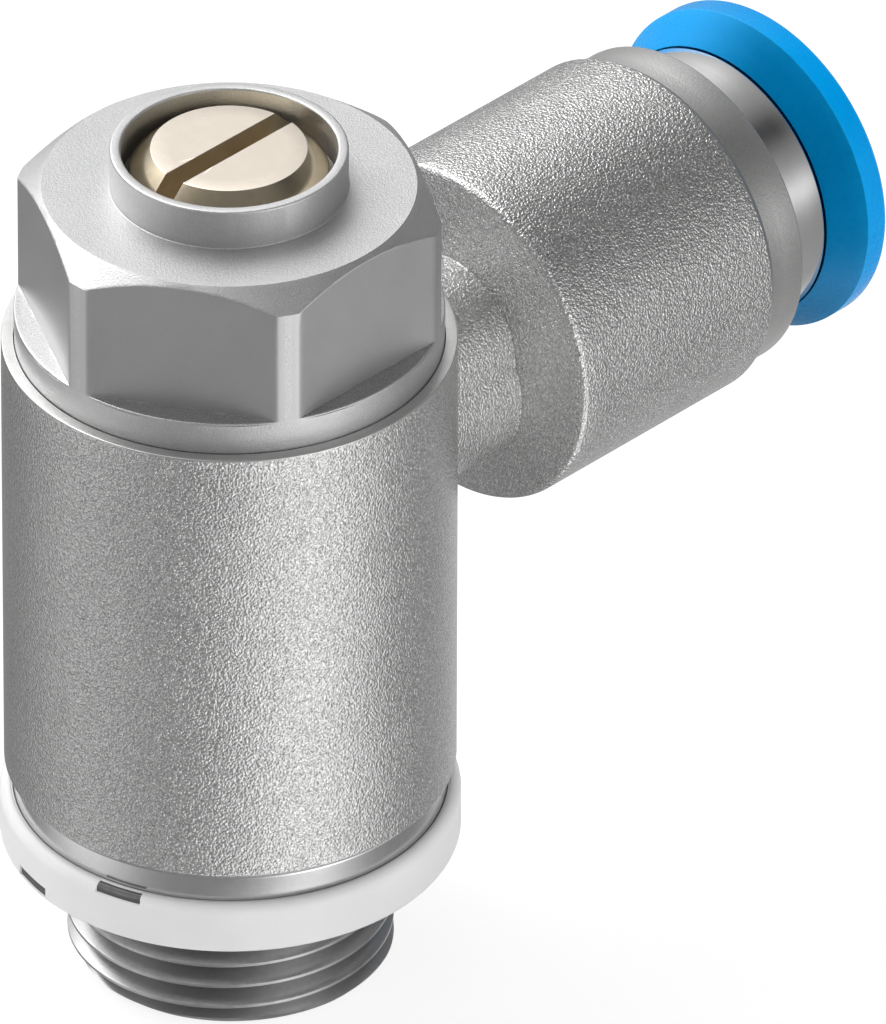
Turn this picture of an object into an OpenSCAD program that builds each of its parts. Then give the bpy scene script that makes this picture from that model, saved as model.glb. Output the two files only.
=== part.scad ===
// One-way flow control valve: a hollow bolt that screws into a port, a die-cast housing
// that swivels round it with a push-in socket for a 10 mm tube, and a slotted regulating screw.
// Z runs up the bolt axis and X runs out along the push-in socket.
// The origin is on the bolt axis, in the plane of the sealing ring's lower face.

/* [Port thread] */
// Outside diameter of the port thread
thread_d = 16.662; // [14.002:0.01:18.002]
// Length of the thread below the sealing face
thread_len = 7.05; // [5:0.05:10]
// Depth of the chamfer at the end of the thread
thread_chamfer = 0.85; // [0.3:0.05:1.2]
// Angle between that chamfer and the thread's end face
chamfer_angle = 30; // [20:5:45]
// Depth of the relief turned behind the thread
relief_depth = 0.85; // [0.2:0.05:1]
// Diameter of the air bore that runs up through the thread
air_bore_d = 10; // [8:0.1:10.4]
// Wall between the air bore and the air space round the bolt
waist_wall = 1.6; // [1:0.1:1.8]

/* [Sealing ring and support ring] */
// Thickness of the sealing ring's floor, which is pressed against the port
seal_floor = 1.2; // [0.6:0.1:2]
// Height of the whole sealing ring
seal_h = 2.8; // [2.2:0.05:3.4]
// Wall of the sealing ring outside the support ring
seal_wall = 0.66; // [0.4:0.02:1.2]
// Angle between the middles of the two windows of a pair
window_spacing = 30; // [20:1:60]
// Angular width of one window
window_angle = 12.5; // [6:0.5:16]
// Height of a pair's upper window, which is open at the ring's upper edge
window_h = 0.5; // [0.3:0.05:1]
// Height of a pair's lower window
low_window_h = 0.58; // [0.4:0.02:0.8]
// Foot of the lower window above the port
low_window_z = 0.2; // [0.16:0.02:0.4]
// Depth of a window, down to the dark core that shows in it
window_depth = 0.12; // [0.06:0.02:0.2]
// Draw-in of the support ring from the sleeve above it
support_inset = 0.45; // [0.05:0.01:0.6]
// Height of the support ring
support_h = 3.05; // [2.4:0.05:5]
// Round on the upper edge of the support ring
support_round = 0.28; // [0.1:0.02:0.4]
// Step out from the thread to the seat of the support ring
seat_step = 0.37; // [0.2:0.01:0.6]
// Step out from that seat to the sealing land
land_step = 0.25; // [0.15:0.01:0.5]

/* [Swivel housing] */
// Wall of the sleeve round the bolt's lands
sleeve_wall = 2.5; // [2.1:0.1:3.4]
// Length of the sleeve
sleeve_len = 25.15; // [24.5:0.05:32]
// Width of the rim round the bolt head at the sleeve's upper end
rim_w = 0.6; // [0.4:0.05:1.4]
// Chamfer on the sleeve's upper rim
rim_chamfer = 0.35; // [0.1:0.05:0.38]
// Height of the socket axis above the sleeve's lower end
socket_rise = 17.7; // [16.6:0.1:18.4]
// Length of the neck between the sleeve and the barrel
neck_len = 5; // [4:0.1:12]
// Diameter of the air passage through the neck
passage_d = 6.6; // [4:0.1:8]
// Wall of the neck round the air passage
neck_wall = 1.1; // [0.8:0.1:1.6]
// Radius of the stout rib under the neck
rib_r = 4.85; // [4.4:0.05:5.6]
// Drop of the rib's axis below the socket axis
rib_drop = 2.15; // [1.2:0.05:3]
// Hollow round where the neck meets the barrel
neck_fillet = 0.25; // [0.2:0.05:1]
// Recess under the sleeve for the glide washer
washer_recess = 0.46; // [0.3:0.02:0.8]
// Radial width of the glide washer
washer_w = 1.5; // [0.8:0.1:1.6]
// Radial gap where the bolt's lands run in the housing
swivel_fit = 0.05; // [0.02:0.01:0.1]
// Open gap between faces that turn past each other
swivel_gap = 0.24; // [0.15:0.01:0.5]

/* [Bolt head] */
// Width across the flats of the hexagon
hex_af = 19; // [17:0.1:20.4]
// Diameter of the round skirt below the hexagon
skirt_d = 21.6; // [21.4:0.1:24]
// Depth that the skirt sinks into the sleeve
skirt_sink = 0.9; // [0.5:0.05:1.6]
// Height of the skirt above the sleeve
skirt_rise = 1.76; // [0.8:0.02:3]
// Radial draw-in of the skirt and the hexagon's corners
corner_turn = 0.15; // [0.05:0.01:0.3]
// Height of the hexagon
hex_h = 7.3; // [5:0.1:12]
// Diameter of the flat circle on top of the hexagon
top_flat_d = 18.84; // [15:0.02:20]
// Fall of the chamfer from that circle to the corners
corner_fall = 1.06; // [0.4:0.02:2]
// Outside diameter of the collar round the screw
collar_d = 12; // [11.6:0.1:14]
// Height of the collar above the hexagon
collar_h = 2.16; // [2:0.02:5]
// Round where the collar meets the hexagon's top
collar_fillet = 0.3; // [0.1:0.1:1.4]
// Round on the collar's lip
lip_round = 0.25; // [0.1:0.01:0.28]
// Width that the collar's mouth opens beyond the bore for the screw
mouth_step = 0.35; // [0.1:0.05:0.5]
// Depth of that wider mouth below the rim
mouth_depth = 2; // [0.8:0.1:2.1]

/* [Regulating screw] */
// Diameter of the screw's head
screw_head_d = 10; // [9.6:0.1:10.4]
// Radial gap round the screw's head
screw_head_fit = 0.1; // [0.04:0.01:0.1]
// Length of the screw's head
screw_head_len = 4.5; // [4.4:0.1:5]
// Chamfer round the top of the head
screw_chamfer = 1.06; // [0.4:0.02:1.4]
// Width of the driver slot
slot_w = 1.2; // [0.8:0.05:1.6]
// Depth of the driver slot
slot_depth = 2.1; // [1:0.05:2.2]
// Outside diameter of the screw's thread
screw_thread_d = 8; // [7:0.1:8.4]
// Radial gap round the screw's thread
screw_fit = 0.05; // [0.03:0.01:0.1]
// Depth of the bore for the screw's head below the collar's rim
head_bore_depth = 10; // [9.6:0.1:11]
// Distance the screw travels between open and closed
screw_travel = 4; // [2:0.1:4]
// Diameter of the needle
needle_d = 5.7; // [4:0.1:6]
// Length of the needle's tapered end
needle_taper = 3; // [1.5:0.1:3.4]
// Diameter of the needle's tip
needle_tip_d = 3.2; // [1:0.1:3.4]
// Length of the needle that enters the seat when closed
needle_bite = 0.4; // [0.2:0.05:0.8]

/* [Air passages in the bolt] */
// Diameter of the chamber above the throttle seat
chamber_d = 9.2; // [8.8:0.1:9.4]
// Diameter of each upper cross hole
upper_hole_d = 3.8; // [2:0.1:4.2]
// Diameter of each lower cross hole
lower_hole_d = 3.2; // [2:0.1:3.4]
// Number of cross holes in each row
hole_count = 4; // [2:1:6]
// Drop of the throttle seat below the socket axis
seat_drop = 5.2; // [4.6:0.1:5.6]
// Length of the throttle seat
seat_len = 4; // [3.6:0.1:4.6]
// Thickness of the stop ring on the screw
stop_ring_h = 0.6; // [0.4:0.05:0.8]

/* [Seals] */
// Section of the two swivel O-rings
o_ring_section = 1.5; // [1.2:0.05:1.7]
// Section of the O-ring on the screw
screw_o_ring_section = 1.16; // [0.8:0.02:1.2]
// Height of the one-way lip seal
lip_seal_h = 3.2; // [2.6:0.1:3.8]
// Thickness of the lip seal's lip
lip_t = 0.55; // [0.4:0.05:0.8]
// Radial thickness of the tube seal
tube_seal_w = 1.8; // [1.6:0.05:2]
// Length of the tube seal
tube_seal_len = 2.6; // [2:0.1:4]
// Length of the spacer in front of the tube seal
spacer_len = 1.1; // [0.6:0.1:2]

/* [Push-in socket] */
// Outside diameter of the tube that the socket takes
tube_d = 10; // [9.6:0.1:12]
// Radial gap between the tube and its socket
tube_fit = 0.05; // [0.03:0.01:0.1]
// Wall behind the tube's stop
stop_wall = 3.5; // [2:0.1:6]
// Length of the plain socket between the stop and the seal
socket_len = 4.6; // [3:0.1:8]
// Wall of the barrel round the cartridge
barrel_wall = 1.82; // [1.4:0.02:3]
// Step down from the rough barrel to its smooth end
barrel_step = 0.48; // [0.2:0.02:0.8]
// Fall of the bevel between the barrel and its smooth end
barrel_edge = 0.25; // [0.05:0.05:0.4]
// Length of the barrel's smooth end
step_len = 2.5; // [1:0.1:4]
// Length of the cartridge inside the barrel
cartridge_seat = 4.5; // [3.6:0.1:6]
// Length of the cartridge in front of the barrel
cartridge_out = 3.14; // [3:0.02:5]
// Thickness of the cartridge's front lip
front_lip = 1.15; // [0.8:0.05:1.4]
// Wall of the cartridge at the wide end of its cone
cartridge_wall = 0.68; // [0.4:0.01:1]
// Radial rise of the cartridge's cone
cone_rise = 0.45; // [0.3:0.01:0.6]
// Number of fingers on the grip collet
finger_count = 12; // [6:1:16]
// Width of the slots between the fingers
finger_slot = 0.7; // [0.4:0.05:1]

/* [Release ring] */
// Wall of the release ring's nose
nose_wall = 0.67; // [0.5:0.01:0.9]
// Height of the barb that keeps the nose in the cartridge
barb_h = 0.33; // [0.15:0.01:0.4]
// Distance the release ring travels when pressed
release_travel = 1.2; // [0.6:0.05:1.3]
// Overhang of the release ring's rim past its back lip
flange_over = 1.29; // [0.6:0.01:3]
// Length of the release ring's cone
flange_cone = 1.67; // [0.8:0.01:3]
// Length of the release ring's rim
flange_rim = 1.43; // [0.6:0.01:3]
// Round on the release ring's front edge
flange_round = 0.3; // [0.1:0.02:0.3]

/* [Hidden] */
$fn = 96;
// Play of a piece that is pressed or clipped in place
seat_play = 0.03;
// Free distance between faces that must never meet
free_gap = 0.1;
thread_r = thread_d / 2;
air_bore_r = air_bore_d / 2;
waist_r = air_bore_r + waist_wall;
seat_r = thread_r + seat_step;
land_r = seat_r + land_step;
bore_r = land_r + swivel_fit;
seal_bore_r = thread_r + free_gap;
sleeve_low_r = bore_r + sleeve_wall;
support_r = sleeve_low_r - support_inset;
support_z = seal_floor + seat_play;
support_top = support_z + support_h;
seal_r = support_r + seat_play + seal_wall;

// Heights up the bolt axis
sleeve_z = support_top + swivel_gap;
sleeve_top = sleeve_z + sleeve_len;
skirt_z = sleeve_top - skirt_sink;
counterbore_z = skirt_z - swivel_gap;
hex_z = sleeve_top + skirt_rise;
hex_top = hex_z + hex_h;
rim_z = hex_top + collar_h;
socket_z = sleeve_z + socket_rise;
washer_top = sleeve_z + washer_recess;

// Radii of the housing and the bolt head
skirt_r = skirt_d / 2;
corner_r = skirt_r - corner_turn;
counterbore_r = skirt_r + free_gap;
sleeve_top_r = counterbore_r + rim_w;
washer_in_r = land_r + free_gap + swivel_fit;
washer_out_r = washer_in_r + washer_w;

// Grooves and lands of the swivel seals
groove_w = o_ring_section + 0.5;
groove_r = bore_r - o_ring_section - seat_play;
o_ring_mid_r = bore_r - seat_play - o_ring_section / 2;
land_edge = 0.7;
lower_groove_z = washer_top + land_edge;
lower_land_top = lower_groove_z + groove_w + land_edge;
upper_groove_top = counterbore_z - land_edge;
upper_groove_z = upper_groove_top - groove_w;
upper_land_z = upper_groove_z - land_edge;

// Air passages
upper_hole_z = socket_z;
seat_top = socket_z - seat_drop;
seat_z = seat_top - seat_len;
lower_hole_z = lower_land_top + lower_hole_d / 2 + free_gap;
lip_seal_z = lower_hole_z + lower_hole_d / 2 + 0.6;
lip_seal_r = bore_r - seat_play;
chamber_r = chamber_d / 2;
chamber_top = upper_hole_z + upper_hole_d / 2 + 1.3;

// Regulating screw
screw_head_r = screw_head_d / 2;
head_bore_r = screw_head_r + screw_head_fit;
collar_r = collar_d / 2;
screw_bore_r = screw_thread_d / 2;
screw_thread_r = screw_bore_r - screw_fit;
screw_top = rim_z - seat_play;
head_bore_z = rim_z - head_bore_depth;
mouth_r = min(head_bore_r + mouth_step, collar_r - 2 * lip_round - 0.05);
mouth_z = rim_z - mouth_depth;
mouth_lead = mouth_r - head_bore_r;
screw_head_z = screw_top - screw_head_len;
stop_ring_top = chamber_top - free_gap;
stop_ring_z = stop_ring_top - stop_ring_h;
stop_ring_in_r = screw_thread_r - 0.65;
stop_ring_out_r = chamber_r - 0.2;
shank_end = stop_ring_z - 0.5;
needle_r = needle_d / 2;
needle_end = seat_top + screw_travel - needle_bite;
needle_tip = needle_end - needle_taper;
screw_groove_w = screw_o_ring_section + 0.14;
screw_groove_top = screw_top - slot_depth - 0.45;
screw_groove_z = screw_groove_top - screw_groove_w;
screw_o_ring_mid_r = head_bore_r - seat_play - screw_o_ring_section / 2;
screw_groove_r = screw_o_ring_mid_r - screw_o_ring_section / 2 - seat_play;

// Lengths and radii along the socket axis
tube_r = tube_d / 2;
socket_r = tube_r + tube_fit;
barrel_x = sleeve_low_r + neck_len;
stop_x = barrel_x + stop_wall;
seal_x = stop_x + socket_len;
seal_chamber_r = tube_r + tube_seal_w;
spacer_x = seal_x + tube_seal_len + 2 * seat_play;
cartridge_x = spacer_x + spacer_len + seat_play;
barrel_end = cartridge_x + cartridge_seat;
step_x = barrel_end - step_len;
cartridge_end = barrel_end + cartridge_out;
nose_bore_r = tube_r + tube_fit + free_gap;
nose_r = nose_bore_r + nose_wall;
lip_r = nose_r + 0.08;
barb_r = nose_r + barb_h;
cone_small_r = barb_r + 0.15;
cone_large_r = cone_small_r + cone_rise;
cartridge_r = cone_large_r + cartridge_wall;
barrel_bore_r = cartridge_r + seat_play;
barrel_r = barrel_bore_r + barrel_wall;
step_r = barrel_r - barrel_step;
lip_x = cartridge_end - front_lip;
barb_x = lip_x - free_gap;
barb_len = 0.65;
nose_x = barb_x - barb_len;
collet_end = nose_x - seat_play;
collet_len = 3.2;
collet_x = collet_end - collet_len;
collet_ring = 1;
finger_head = 0.6;
cone_x = lip_x - 3.8;
recess_r = cartridge_r + 0.06;
back_lip_r = recess_r + 0.04;
flange_r = back_lip_r + flange_over;
flange_x = cartridge_end;
flange_cone_x = flange_x + flange_cone;
flange_end = flange_cone_x + flange_rim;
recess_x = flange_x + release_travel + free_gap;
passage_r = passage_d / 2;
neck_r = passage_r + neck_wall;
neck_start = bore_r + 0.6;

// Points of a round that turns from one angle to another about a centre
function round_points(centre, radius, from, to, steps = 8) = [
  for (i = [0 : steps])
    let (turn = from + (to - from) * i / steps)
      [centre[0] + radius * cos(turn), centre[1] + radius * sin(turn)]
];

// Solid turned about the bolt axis from points given as [radius, height]
module turned(points) {
  rotate_extrude() polygon(points);
}

// Solid turned about the socket axis from points given as [radius, distance along X]
module turned_on_socket(points) {
  translate([0, 0, socket_z])
    rotate([0, 90, 0])
      rotate_extrude() polygon(points);
}

// Ring of round section about the bolt axis
module o_ring(mid_r, section, mid_z) {
  translate([0, 0, mid_z])
    rotate_extrude()
      translate([mid_r, 0]) circle(d = section, $fn = 32);
}

// Row of radial holes at one height, the first on X
module cross_holes(diameter, height) {
  for (i = [0 : hole_count - 1])
    rotate([0, 0, 360 * i / hole_count])
      translate([0, 0, height])
        rotate([0, 90, 0]) cylinder(d = diameter, h = waist_r + 1, $fn = 48);
}

// Turned outside of the bolt below the hexagon
module bolt_shank() {
  turned([
    [0, -thread_len],
    [thread_r - thread_chamfer, -thread_len],
    [thread_r, -thread_len + thread_chamfer * tan(chamfer_angle)],
    [thread_r, 0],
    [thread_r - relief_depth, 0.35],
    [thread_r - relief_depth, seal_floor],
    [seat_r, seal_floor],
    [seat_r, support_top],
    [land_r, support_top],
    [land_r, lower_groove_z],
    [groove_r, lower_groove_z],
    [groove_r, lower_groove_z + groove_w],
    [land_r, lower_groove_z + groove_w],
    [land_r, lower_land_top],
    [waist_r, lower_land_top],
    [waist_r, upper_land_z],
    [land_r, upper_land_z],
    [land_r, upper_groove_z],
    [groove_r, upper_groove_z],
    [groove_r, upper_groove_top],
    [land_r, upper_groove_top],
    [land_r, skirt_z],
    [skirt_r - 0.15, skirt_z],
    [skirt_r, skirt_z + 0.15],
    [skirt_r, sleeve_top],
    [corner_r, hex_z],
    [0, hex_z]
  ]);
}

// Hexagon with turned corners, a chamfered top and crescent ledges at its foot
module bolt_hexagon() {
  intersection() {
    translate([0, 0, hex_z - 0.5])
      cylinder(d = hex_af / cos(30), h = hex_h + 1, $fn = 6);
    turned([
      [0, hex_z - 0.2],
      [corner_r, hex_z - 0.2],
      [corner_r, hex_top - corner_fall],
      [top_flat_d / 2, hex_top],
      [0, hex_top]
    ]);
  }
}

// Collar with a hollow round at its foot and a round lip
module bolt_collar() {
  turned(concat(
    [[0, hex_top - 0.5], [collar_r + collar_fillet, hex_top - 0.5]],
    round_points([collar_r + collar_fillet, hex_top + collar_fillet], collar_fillet, 270, 180),
    round_points([collar_r - lip_round, rim_z - lip_round], lip_round, 0, 90, 4),
    [[0, rim_z]]
  ));
}

module hollow_bolt() {
  color("silver")
    difference() {
      union() {
        bolt_shank();
        bolt_hexagon();
        bolt_collar();
      }
      translate([0, 0, -thread_len - 1])
        cylinder(r = air_bore_r, h = thread_len + 1 + seat_top);
      translate([0, 0, seat_top - 1])
        cylinder(r = chamber_r, h = chamber_top - seat_top + 1);
      translate([0, 0, chamber_top - 1])
        cylinder(r = screw_bore_r, h = head_bore_z - chamber_top + 2);
      translate([0, 0, head_bore_z])
        cylinder(r = head_bore_r, h = head_bore_depth + 1);
      turned([
        [0, mouth_z - mouth_lead],
        [head_bore_r, mouth_z - mouth_lead],
        [mouth_r, mouth_z],
        [mouth_r, rim_z - lip_round],
        [mouth_r + lip_round, rim_z],
        [mouth_r + lip_round, rim_z + 1],
        [0, rim_z + 1]
      ]);
      cross_holes(upper_hole_d, upper_hole_z);
      cross_holes(lower_hole_d, lower_hole_z);
    }
}

// Pressed-in seat that the needle closes, with an eased mouth
module throttle_seat() {
  seat_bore_r = needle_r + screw_fit;
  color("goldenrod")
    turned([
      [seat_bore_r, seat_z],
      [air_bore_r - seat_play, seat_z],
      [air_bore_r - seat_play, seat_top - seat_play],
      [seat_bore_r + 0.5, seat_top - seat_play],
      [seat_bore_r, seat_top - 0.25]
    ]);
}

// Ring pressed on from below, which keeps the housing on the bolt
module support_ring() {
  color("darkgray")
    turned(concat(
      [
        [seat_r + seat_play, support_z],
        [support_r - support_round, support_z],
        [support_r, support_z + support_round]
      ],
      round_points([support_r - support_round, support_top - support_round], support_round, 0, 90, 6),
      [[seat_r + seat_play, support_top]]
    ));
}

// Sector of a ring, as wide as a window, from one radius outwards
module window_sector(inner_r, z, h) {
  translate([0, 0, z])
    rotate_extrude(angle = window_angle)
      translate([inner_r, 0]) square([seal_r + 1 - inner_r, h]);
}

// Lower window, in the ring's outer face alone
module lower_window() {
  window_sector(seal_r - window_depth, low_window_z, low_window_h);
}

// Upper window, open at the ring's upper edge, where the core ends a little lower
module upper_window() {
  window_sector(seal_r - window_depth, seal_h - window_h, window_h + 1);
  window_sector(seal_r - seal_wall + window_depth, seal_h - window_depth, 1);
}

// Soft white ring clipped round the support ring and pressed against the port
module thread_seal_ring() {
  wall_r = support_r + seat_play;
  top_round = seal_wall * 0.9;
  color("white")
    difference() {
      turned(concat(
        [
          [seal_bore_r, 0],
          [seal_r - 0.2, 0],
          [seal_r, 0.3]
        ],
        round_points([seal_r - top_round, seal_h - top_round], top_round, 0, 90, 8),
        [
          [wall_r, seal_h],
          [wall_r, seal_floor],
          [seal_bore_r, seal_floor]
        ]
      ));
      for (side = [0, 180]) {
        rotate([0, 0, side - window_spacing / 2 - window_angle / 2]) lower_window();
        rotate([0, 0, side + window_spacing / 2 - window_angle / 2]) upper_window();
      }
    }
}

// Thin washer that the housing turns on
module glide_washer() {
  color("dimgray")
    turned([
      [washer_in_r, support_top + seat_play],
      [washer_out_r, support_top + seat_play],
      [washer_out_r, washer_top - swivel_fit],
      [washer_in_r, washer_top - swivel_fit]
    ]);
}

module lower_o_ring() {
  color("black") o_ring(o_ring_mid_r, o_ring_section, lower_groove_z + groove_w / 2);
}

module upper_o_ring() {
  color("black") o_ring(o_ring_mid_r, o_ring_section, upper_groove_z + groove_w / 2);
}

// One-way seal: its lip flares down and lets air pass only towards the port
module lip_seal() {
  heel_h = lip_seal_h * 0.45;
  heel_z = lip_seal_z + lip_seal_h - heel_h;
  heel_r = (waist_r + lip_seal_r) / 2;
  color("black")
    turned([
      [waist_r + seat_play, heel_z - 0.4],
      [waist_r + 0.6, heel_z - 0.2],
      [lip_seal_r - lip_t, lip_seal_z],
      [lip_seal_r, lip_seal_z],
      [lip_seal_r, lip_seal_z + 0.3],
      [heel_r, heel_z + heel_h],
      [waist_r + seat_play, heel_z + heel_h]
    ]);
}

module regulating_screw() {
  color("khaki")
    difference() {
      turned([
        [0, needle_tip],
        [needle_tip_d / 2, needle_tip],
        [needle_r, needle_end],
        [needle_r, shank_end],
        [screw_thread_r, shank_end],
        [screw_thread_r, stop_ring_z - seat_play],
        [stop_ring_in_r - seat_play, stop_ring_z - seat_play],
        [stop_ring_in_r - seat_play, stop_ring_top + seat_play],
        [screw_thread_r, stop_ring_top + seat_play],
        [screw_thread_r, screw_head_z],
        [screw_head_r, screw_head_z],
        [screw_head_r, screw_groove_z],
        [screw_groove_r, screw_groove_z],
        [screw_groove_r, screw_groove_top],
        [screw_head_r, screw_groove_top],
        [screw_head_r, screw_top - screw_chamfer],
        [screw_head_r - screw_chamfer, screw_top],
        [0, screw_top]
      ]);
      translate([-screw_head_r - 1, -slot_w / 2, screw_top - slot_depth])
        cube([2 * screw_head_r + 2, slot_w, slot_depth + 1]);
    }
}

// Split ring that stops the screw from being turned right out
module screw_stop_ring() {
  color("gray")
    difference() {
      turned([
        [stop_ring_in_r, stop_ring_z],
        [stop_ring_out_r, stop_ring_z],
        [stop_ring_out_r, stop_ring_top],
        [stop_ring_in_r, stop_ring_top]
      ]);
      translate([0, -0.5, stop_ring_z - 1]) cube([stop_ring_out_r + 1, 1, stop_ring_h + 2]);
    }
}

module screw_o_ring() {
  color("black")
    o_ring(screw_o_ring_mid_r, screw_o_ring_section, screw_groove_z + screw_groove_w / 2);
}

// Straight outside of the sleeve, chamfered at its upper rim
module sleeve_form() {
  turned([
    [0, sleeve_z],
    [sleeve_low_r - 0.15, sleeve_z],
    [sleeve_low_r, sleeve_z + 0.15],
    [sleeve_top_r, sleeve_top - rim_chamfer],
    [sleeve_top_r - rim_chamfer, sleeve_top],
    [0, sleeve_top]
  ]);
}

// Round bar of the neck that flares in a hollow round where it meets the barrel
module neck_bar(radius, drop) {
  translate([0, 0, -drop])
    turned_on_socket(concat(
      [[0, neck_start], [radius, neck_start]],
      round_points([radius + neck_fillet, barrel_x - neck_fillet], neck_fillet, 180, 90),
      [[radius + neck_fillet, barrel_x + 0.5], [0, barrel_x + 0.5]]
    ));
}

// Neck of two round bars, one on the socket axis and a stouter one below it
module neck_form() {
  neck_bar(neck_r, 0);
  neck_bar(rib_r, rib_drop);
}

// Outside of the barrel with its smooth turned end
module barrel_form() {
  turned_on_socket([
    [0, barrel_x],
    [barrel_r - 0.3, barrel_x],
    [barrel_r, barrel_x + 0.3],
    [barrel_r, step_x - 1.5 * barrel_edge],
    [barrel_r - barrel_edge, step_x],
    [step_r, step_x],
    [step_r, barrel_end - 0.3],
    [step_r - 0.3, barrel_end],
    [0, barrel_end]
  ]);
}

module swivel_housing() {
  color("darkgray")
    difference() {
      union() {
        sleeve_form();
        neck_form();
        barrel_form();
      }
      translate([0, 0, sleeve_z - 1]) cylinder(r = bore_r, h = sleeve_len + 2);
      translate([0, 0, sleeve_z - 1]) cylinder(r = washer_out_r + free_gap, h = washer_recess + 1);
      translate([0, 0, counterbore_z]) cylinder(r = counterbore_r, h = sleeve_top - counterbore_z + 1);
      translate([0, 0, socket_z])
        rotate([0, 90, 0]) cylinder(r = passage_r, h = stop_x + 1);
      translate([stop_x, 0, socket_z])
        rotate([0, 90, 0]) cylinder(r = socket_r, h = seal_x - stop_x + 1);
      translate([seal_x, 0, socket_z])
        rotate([0, 90, 0]) cylinder(r = seal_chamber_r, h = cartridge_x - seal_x + 1);
      translate([cartridge_x, 0, socket_z])
        rotate([0, 90, 0]) cylinder(r = barrel_bore_r, h = cartridge_seat + 1);
    }
}

// Rubber ring with two rounded sealing lips that close on the tube
module tube_seal() {
  seal_in_r = tube_r + tube_fit;
  seal_start = seal_x + seat_play;
  color("black")
    turned_on_socket([
      [seal_in_r + 0.35, seal_start],
      [seal_chamber_r - seat_play, seal_start],
      [seal_chamber_r - seat_play, seal_start + tube_seal_len],
      [seal_in_r + 0.35, seal_start + tube_seal_len],
      [seal_in_r, seal_start + tube_seal_len * 0.8],
      [seal_in_r + 0.25, seal_start + tube_seal_len * 0.5],
      [seal_in_r, seal_start + tube_seal_len * 0.2]
    ]);
}

// Hard ring that holds the tube seal in its chamber
module seal_spacer() {
  color("whitesmoke")
    turned_on_socket([
      [nose_bore_r, spacer_x],
      [seal_chamber_r - seat_play, spacer_x],
      [seal_chamber_r - seat_play, spacer_x + spacer_len],
      [nose_bore_r, spacer_x + spacer_len]
    ]);
}

// Polished sleeve pressed into the barrel, with the cone that closes the collet
module cartridge_sleeve() {
  color("gainsboro")
    turned_on_socket([
      [cone_large_r, cartridge_x + seat_play],
      [cartridge_r, cartridge_x + seat_play],
      [cartridge_r, cartridge_end - 0.2],
      [cartridge_r - 0.2, cartridge_end],
      [lip_r, cartridge_end],
      [lip_r, lip_x],
      [cone_small_r, lip_x],
      [cone_large_r, cone_x]
    ]);
}

// Stainless collet: a ring with springy fingers whose toothed heads run in the cone
module grip_collet() {
  ring_r = cone_large_r - 0.2;
  head_r = cone_small_r - 0.08;
  ring_in_r = nose_bore_r + 0.15;
  slot_start = collet_x + collet_ring;
  color("lightsteelblue")
    difference() {
      turned_on_socket([
        [ring_in_r, collet_x],
        [ring_r, collet_x],
        [ring_r, slot_start],
        [head_r, collet_end - finger_head],
        [head_r, collet_end],
        [tube_r + tube_fit, collet_end],
        [tube_r + tube_fit, collet_end - 0.2],
        [ring_in_r, collet_end - finger_head]
      ]);
      for (i = [0 : finger_count - 1])
        translate([slot_start, 0, socket_z])
          rotate([360 * i / finger_count, 0, 0])
            translate([0, -finger_slot / 2, 0])
              cube([collet_len, finger_slot, cartridge_r]);
    }
}

// Ring that is pressed in to free the tube
module release_ring() {
  mouth_r = nose_bore_r + 1.1;
  color("dodgerblue")
    turned_on_socket(concat(
      [
        [nose_bore_r, nose_x],
        [barb_r - 0.2, nose_x],
        [barb_r, nose_x + 0.2],
        [barb_r, barb_x],
        [nose_r, barb_x],
        [nose_r, recess_x],
        [recess_r, recess_x],
        [recess_r, flange_x],
        [back_lip_r, flange_x],
        [flange_r, flange_cone_x]
      ],
      round_points([flange_r - flange_round, flange_end - flange_round], flange_round, 0, 90, 5),
      [
        [mouth_r, flange_end - 0.15],
        [nose_bore_r, flange_end - 1.2]
      ]
    ));
}

hollow_bolt();
throttle_seat();
support_ring();
thread_seal_ring();
glide_washer();
lower_o_ring();
upper_o_ring();
lip_seal();
regulating_screw();
screw_stop_ring();
screw_o_ring();
swivel_housing();
tube_seal();
seal_spacer();
cartridge_sleeve();
grip_collet();
release_ring();
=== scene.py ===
"""Looks, camera and light of a one-way flow control valve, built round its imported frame."""
import logging
import math
from dataclasses import dataclass
from enum import Enum

import bmesh
import bpy
import numpy as np
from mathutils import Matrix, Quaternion, Vector


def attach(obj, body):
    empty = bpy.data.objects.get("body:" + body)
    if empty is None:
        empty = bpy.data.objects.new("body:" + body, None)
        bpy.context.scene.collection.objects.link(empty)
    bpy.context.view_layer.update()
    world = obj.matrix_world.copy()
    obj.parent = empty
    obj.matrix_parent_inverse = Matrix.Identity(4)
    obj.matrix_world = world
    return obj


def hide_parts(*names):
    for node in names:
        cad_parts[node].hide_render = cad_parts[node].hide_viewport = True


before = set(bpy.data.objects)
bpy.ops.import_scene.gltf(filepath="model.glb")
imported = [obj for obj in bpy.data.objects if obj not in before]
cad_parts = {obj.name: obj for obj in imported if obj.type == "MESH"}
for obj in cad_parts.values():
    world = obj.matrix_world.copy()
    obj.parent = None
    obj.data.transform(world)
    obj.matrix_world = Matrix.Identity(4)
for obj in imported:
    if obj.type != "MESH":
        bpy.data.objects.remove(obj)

log = logging.getLogger("valve")
Array = np.ndarray
Obj = bpy.types.Object
MM = 0.001
SOCKET_HEIGHT = 22.22
PORT_END = -7.05
# Radii of the hair-thin holes along turned solids, unlike where solids meet on one axis
THIN_HOLE, BAR_HOLE, WIDE_HOLE = 0.02, 0.035, 0.05
# Distance of the flats that leaves a row of the bolt's head round
NO_FLATS = 99.0


class Axis(Enum):
    """Axis that a turned piece is made about."""

    BOLT = "bolt"
    SOCKET = "socket"


class Body(Enum):
    """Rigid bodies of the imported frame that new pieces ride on."""

    BOLT = "bolt"
    SCREW = "screw"
    SWIVEL = "swivel"
    RELEASE = "release"


# Surfaces on a grid of two parameters


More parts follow.
